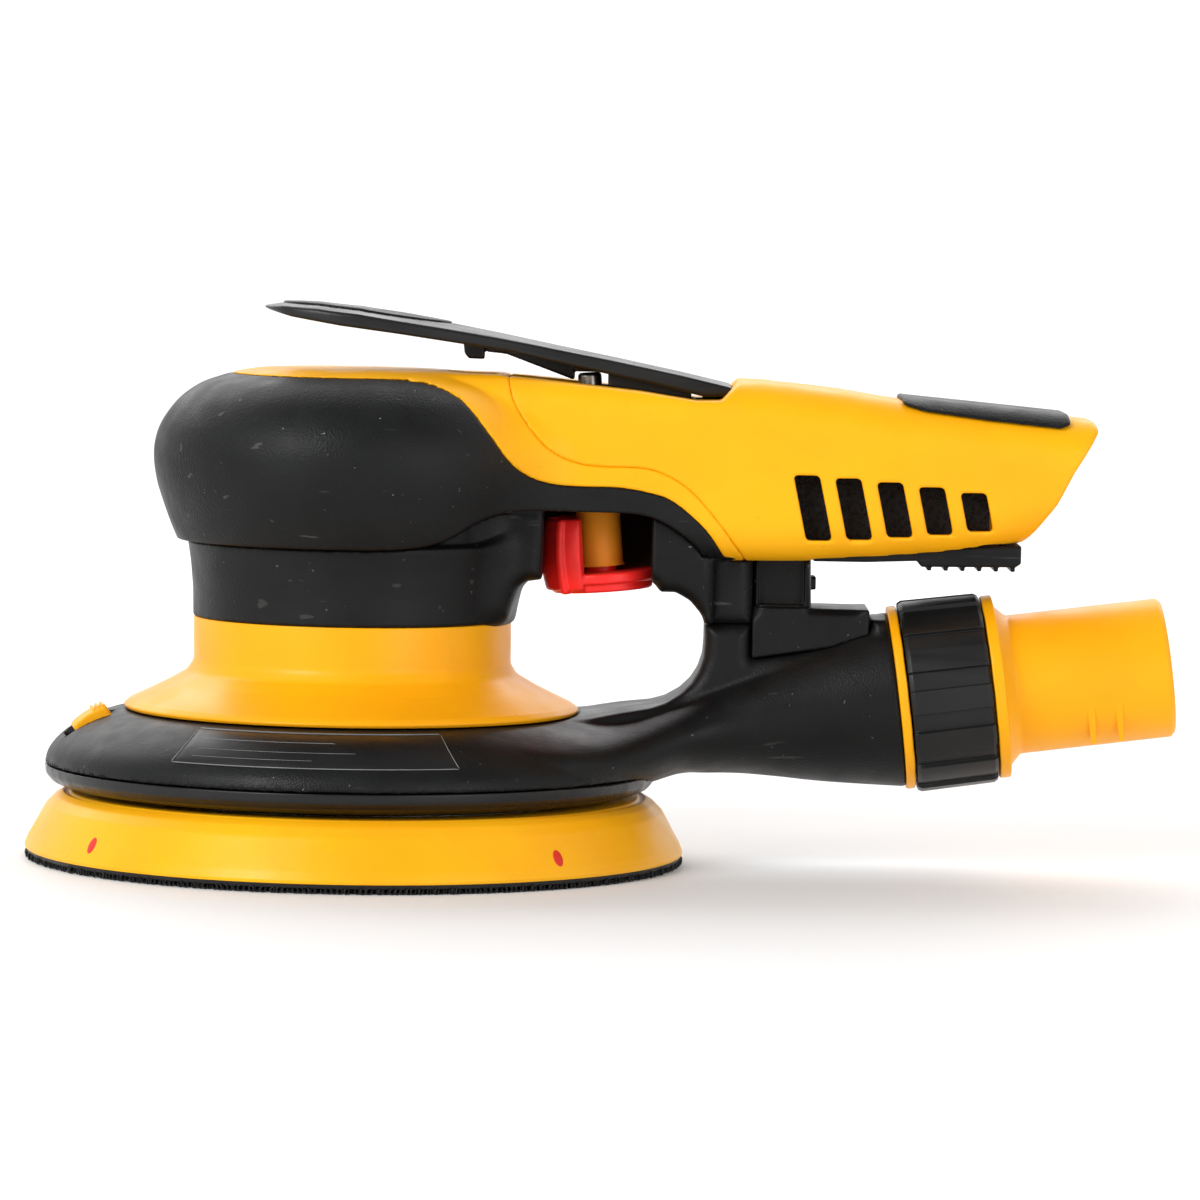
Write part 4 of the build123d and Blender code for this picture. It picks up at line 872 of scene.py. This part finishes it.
SLEEVE = rounded([(4.2, 25.4), (4.2, -3.0), (4.5, -3.6), (2.9, -3.6), (2.9, 25.4)], [0, 0.3, 0.1, 0.2, 0])
COLLAR_RIBS = 14


def collar_outline(angle):
    """Collar section; the ribs stand out by most of a millimetre, with sharp flanks."""
    share = (angle * COLLAR_RIBS / (2 * math.pi)) % 1.0
    lift = 0.75 * float(fade(0.295 - abs(share - 0.5), 0.0, 0.03))
    return rounded([(17.15 + lift, 2.2), (17.55 + lift, 3.0), (17.35 + lift, 16.9), (16.9 + lift, 17.6),
                    (13.6, 17.6),
                    (13.6, 15.4), (15.6, 15.4), (15.6, 2.2)], [0.3, 0.4, 0.4, 0.3, 0.2, 0.1, 0.1, 0.1])


def collar_angles():
    """Angles that crowd at the ribs' flanks."""
    shares = [0.0, 0.1, 0.19, 0.20, 0.205, 0.213, 0.22, 0.227, 0.235, 0.24, 0.3, 0.4, 0.5]
    shares += [1 - s for s in reversed(shares[1:-1])]
    return [2 * math.pi * (k + s) / COLLAR_RIBS for k in range(COLLAR_RIBS) for s in shares]


def make_turned():
    rows = [
        ("clamp_ring", RING, None, "root", "ring_yellow", "lower_ring"),
        ("lip_ring", LIP, None, "root", "seal_black", "shroud_lip"),
        ("seal_ring", SEAL, None, "root", "seal_black", "brake_seal"),
        ("pad_body", FOAM, SPINDLE, "pad", "foam_yellow", "pad_foam"),
        ("seat_ring", SEAT, SWIVEL, "root", "ring_yellow", "hose_seat"),
        ("sleeve_tube", SLEEVE, VALVE, "root", "sleeve_orange", "valve_sleeve"),
    ]
    for name, outline, place, body, finish, node in rows:
        piece = lathe(name, outline, place, 240 if body != "root" or place is None else 128)
        finish_piece(piece, body, MATERIALS[finish], finish, node)
    collar = lathe("ribbed_collar", collar_outline, SWIVEL, angles=collar_angles())
    finish_piece(collar, "collar", MATERIALS["lever_black"], "lever_black", "hose_collar")
    spigot = lathe("spigot_tube", SPIGOT, SWIVEL, 160)
    finish_piece(spigot, "spigot", MATERIALS["ring_yellow"], "ring_yellow", "hose_spigot")


FIN_ANGLE = math.radians(-52.0)


def make_spigot_fins():
    """Two wedges on the tube that grip the hose cuff."""
    def fin(x, y, z):
        u = x * math.cos(FIN_ANGLE) + y * math.sin(FIN_ANGLE)
        v = -x * math.sin(FIN_ANGLE) + y * math.cos(FIN_ANGLE)
        face = SPIGOT_R - 0.5 + 0.28 * (v + 3.9)
        bodies = [meet(round_rect(z - at, v, 0.85 - 0.05 * (v + 3.9), 3.9, 0.15), slab(u, 11.9, face), 0.15)
                  for at in (36.0, 41.3)]
        return np.minimum(*bodies)
    piece = moulded("spigot_fins", fin, (2, -17, 34), (16, -6, 44), 0.2, SWIVEL)
    finish_piece(piece, "spigot", MATERIALS["ring_yellow"], "ring_yellow")


MARK_ANGLES = [math.radians(40.0 + 90.0 * k) for k in range(4)]


def make_wear_marks():
    """Four oval plugs in the foam's bevel."""
    points, faces = [], []
    slope = math.radians(62.0)
    for angle in MARK_ANGLES:
        out = Vector((math.cos(angle), math.sin(angle), 0))
        around = Vector((-math.sin(angle), math.cos(angle), 0))
        up = Vector((0, 0, 1)) * math.sin(slope) - out * math.cos(slope)
        normal = around.cross(up)
        centre = out * 60.95 + Vector((0, 0, 5.6))
        start = len(points)
        for k, (size, lift) in enumerate([(1.0, -0.5), (1.0, -0.05), (0.9, 0.06), (0.55, 0.12),
                                          (0.02, 0.13)]):
            for i in range(24):
                a = 2 * math.pi * i / 24
                points.append(centre + around * 1.1 * size * math.cos(a) + up * 1.75 * size * math.sin(a) + normal * lift)
        for k in range(4):
            for i in range(24):
                a, b = start + k * 24 + i, start + k * 24 + (i + 1) % 24
                faces.append((a, b, b + 24, a + 24))
    piece = add_piece("red_plugs", points, faces, SPINDLE)
    finish_piece(piece, "pad", MATERIALS["mark_red"], "mark_red", "pad_wear_marks")


def make_hooks():
    """Hook layer: a thin backing with curled hooks in rows that crowd at the rim."""
    rng = np.random.default_rng(7)
    backing = lathe("hook_backing", rounded([(1.0, 1.05), (62.1, 1.05), (62.3, 1.8), (1.0, 1.8)], 0.1),
                    SPINDLE, 200)
    finish_piece(backing, "pad", MATERIALS["hook_black"], "hook_black", "pad_hook_face")
    points, faces = [], []
    sides, bends = 4, 9
    for row, radius in enumerate((62.05, 61.2, 60.3, 59.3, 58.1)):
        pitch = 1.02 if row < 3 else 1.35
        count = int(2 * math.pi * radius / pitch)
        for i in range(count):
            angle = 2 * math.pi * (i + 0.5 * (row % 2) + 0.25 * rng.random()) / count
            lean = rng.uniform(-0.5, 0.5) + (math.pi if rng.random() < 0.5 else 0)
            curl = rng.uniform(0.40, 0.54)
            across = Vector((math.cos(angle + math.pi / 2 + lean), math.sin(angle + math.pi / 2 + lean), 0))
            foot = Vector((radius * math.cos(angle), radius * math.sin(angle), 1.25))
            start = len(points)
            for k in range(bends):
                t = math.radians(-25 + 290 * k / (bends - 1))
                centre = foot + across * curl * (1 - math.cos(t)) + Vector((0, 0, -0.62 - 0.56 * math.sin(t)))
                centre.z = max(centre.z, 0.17)
                outward = (across * -math.cos(t) + Vector((0, 0, -math.sin(t)))).normalized()
                side = across.cross(Vector((0, 0, 1)))
                for s in range(sides):
                    a = 2 * math.pi * s / sides
                    points.append(centre + (outward * math.cos(a) + side * math.sin(a)) * 0.16)
            for k in range(bends - 1):
                for s in range(sides):
                    a, b = start + k * sides + s, start + k * sides + (s + 1) % sides
                    faces.append((a, b, b + sides, a + sides))
    piece = add_piece("hook_fringe", points, faces, SPINDLE)
    finish_piece(piece, "pad", MATERIALS["hook_black"], "hook_black")


# ---------------------------------------------------------------- plate on the shroud
PLATE_TOP, PLATE_LOW = 27.55, 21.8
PLATE_EDGES = [(-26.4, 18.2), (-31.3, 22.2)]     # X of the left and right ends at the top and at the bottom
SHROUD_CURVE = curve(SHROUD_SIDE)


def plate_point(s, t, lift):
    """Point on the shroud's front: s from left to right, t from top to bottom."""
    z = PLATE_TOP + (PLATE_LOW - PLATE_TOP) * t
    left = PLATE_EDGES[0][0] + (PLATE_EDGES[1][0] - PLATE_EDGES[0][0]) * t
    right = PLATE_EDGES[0][1] + (PLATE_EDGES[1][1] - PLATE_EDGES[0][1]) * t
    x = left + (right - left) * s
    heights = [p[1] for p in SHROUD_CURVE[::-1]]
    r = float(np.interp(z, heights, [p[0] for p in SHROUD_CURVE[::-1]]))
    return Vector((x, -math.sqrt(r * r - x * x), z)) * (1 + lift / r)


def plate_patch(s0, s1, t0, t1, lift, columns=60, rows=10):
    """Points and faces of a thin raised patch."""
    points, faces = [], []
    for i in range(columns + 1):
        for j in range(rows + 1):
            edge = i in (0, columns) or j in (0, rows)
            s, t = s0 + (s1 - s0) * i / columns, t0 + (t1 - t0) * j / rows
            points.append(plate_point(s, t, -0.1 if edge else lift))
    for i in range(columns):
        for j in range(rows):
            a = i * (rows + 1) + j
            faces.append((a, a + 1, a + rows + 2, a + rows + 1))
    return points, faces


def patches(name, patch_list, material, slot, *nodes):
    points, faces = [], []
    for patch in patch_list:
        new_points, new_faces = plate_patch(*patch)
        faces += [[i + len(points) for i in face] for face in new_faces]
        points += new_points
    return finish_piece(add_piece(name, points, faces), "root", MATERIALS[material], slot, *nodes)


def make_plate():
    """Blank plate with a thin border and plain ruled lines in place of any lettering."""
    patches("blank_plate", [(0, 1, 0, 1, 0.10)], "plate_black", "plate_black", "name_plate")
    w, h = 0.006, 0.045
    border = [(0, 1, 0, h, 0.17, 60, 2), (0, 1, 1 - h, 1, 0.17, 60, 2), (0, w, 0, 1, 0.17, 2, 10),
              (1 - w, 1, 0, 1, 0.17, 2, 10)]
    lines = [(0.05, 0.58, 0.24, 0.30, 0.17, 40, 2), (0.05, 0.66, 0.52, 0.56, 0.17, 40, 2),
             (0.05, 0.50, 0.74, 0.78, 0.17, 40, 2)]
    patches("plate_lines", border + lines, "plate_line", "plate_black")


# ---------------------------------------------------------------- CAD nodes that stay
def dress_cad_nodes():
    """Gives every CAD node that still shows its material."""
    for part in frame["record"]["subparts"]:
        node = frame["nodes"][part["node"]]
        node.data.materials.clear()
        node.data.materials.append(MATERIALS[part["material_slot"]])


# ---------------------------------------------------------------- stage, lights and camera
def area_light(name, where, target, size, power, colour=(1, 1, 1)):
    lamp = bpy.data.lights.new(name, "AREA")
    lamp.shape = "RECTANGLE"
    lamp.size, lamp.size_y = size
    lamp.energy = power
    lamp.color = colour
    obj = bpy.data.objects.new(name, lamp)
    obj.location = where
    obj.rotation_mode = "QUATERNION"
    obj.rotation_quaternion = (Vector(target) - Vector(where)).to_track_quat("-Z", "Y")
    bpy.context.scene.collection.objects.link(obj)


def make_stage():
    half = 1.0
    floor = add_piece("floor", [(-half / MM, -half / MM, 0), (half / MM, -half / MM, 0),
                                (half / MM, half / MM, 0),
                                (-half / MM, half / MM, 0)], [(0, 1, 2, 3)])
    g = Graph("floor_paint")
    tone = g.remap(g.noise(0.4, 3), 0.3, 0.7, 0.0, 1.0)
    g.set(Base_Color=g.mix(tone, (0.86, 0.86, 0.86), (0.89, 0.89, 0.89)), Roughness=0.6)
    floor.data.materials.append(g.material)
    make_world()
    middle = (0.045, 0.0, 0.05)
    area_light("key", (-0.62, -0.80, 0.62), middle, (0.55, 0.55), 9.0)
    area_light("fill", (0.75, -0.95, 0.30), middle, (0.5, 0.6), 3.0)
    area_light("back", (0.0, 0.9, 0.75), (0.05, 0.55, 0.0), (1.8, 0.9), 12.0)


def make_world():
    """White studio: bright behind and above the object, dimmer on the camera's side."""
    world = bpy.data.worlds.new("studio")
    world.use_nodes = True
    tree = world.node_tree
    where = tree.nodes.new("ShaderNodeTexCoord")
    split = tree.nodes.new("ShaderNodeSeparateXYZ")
    tree.links.new(where.outputs["Generated"], split.inputs[0])
    level = tree.nodes.new("ShaderNodeMapRange")
    for key, value in (("From Min", -0.9), ("From Max", 0.15), ("To Min", 0.45), ("To Max", 1.15)):
        level.inputs[key].default_value = value
    tree.links.new(split.outputs["Y"], level.inputs["Value"])
    dome = tree.nodes.new("ShaderNodeMapRange")
    for key, value in (("From Min", 0.35), ("From Max", 0.8), ("To Min", 1.0), ("To Max", 0.35)):
        dome.inputs[key].default_value = value
    tree.links.new(split.outputs["Z"], dome.inputs["Value"])
    both = tree.nodes.new("ShaderNodeMath")
    both.operation = "MULTIPLY"
    tree.links.new(level.outputs["Result"], both.inputs[0])
    tree.links.new(dome.outputs["Result"], both.inputs[1])
    tree.links.new(both.outputs[0], tree.nodes["Background"].inputs["Strength"])
    tree.nodes["Background"].inputs["Color"].default_value = (1.0, 1.0, 1.0, 1)
    bpy.context.scene.world = world


CAMERA_AT = (0.047, -1.150, 0.1272)
CAMERA_PITCH, CAMERA_ROLL = 0.0672, 0.0178
CAMERA_LENS = 181.6


def make_camera():
    camera = bpy.data.objects.new("camera", bpy.data.cameras.new("camera"))
    camera.data.lens = CAMERA_LENS
    camera.data.sensor_width = 36.0
    camera.data.clip_start, camera.data.clip_end = 0.05, 30.0
    look = Vector((0, math.cos(CAMERA_PITCH), -math.sin(CAMERA_PITCH)))
    level = look.cross(Vector((0, 0, 1))).normalized()
    above = level.cross(look)
    c, s = math.cos(CAMERA_ROLL), math.sin(CAMERA_ROLL)
    right, up = level * c + above * s, above * c - level * s
    camera.matrix_world = Matrix.Translation(CAMERA_AT) @ Matrix((right, up, -look)).transposed().to_4x4()
    bpy.context.scene.collection.objects.link(camera)
    bpy.context.scene.camera = camera


make_camera()
make_stage()
dress_cad_nodes()
make_moulded()
make_turned()
make_spigot_fins()
make_wear_marks()
make_hooks()
make_plate()
bpy.context.scene.view_settings.view_transform = "Standard"
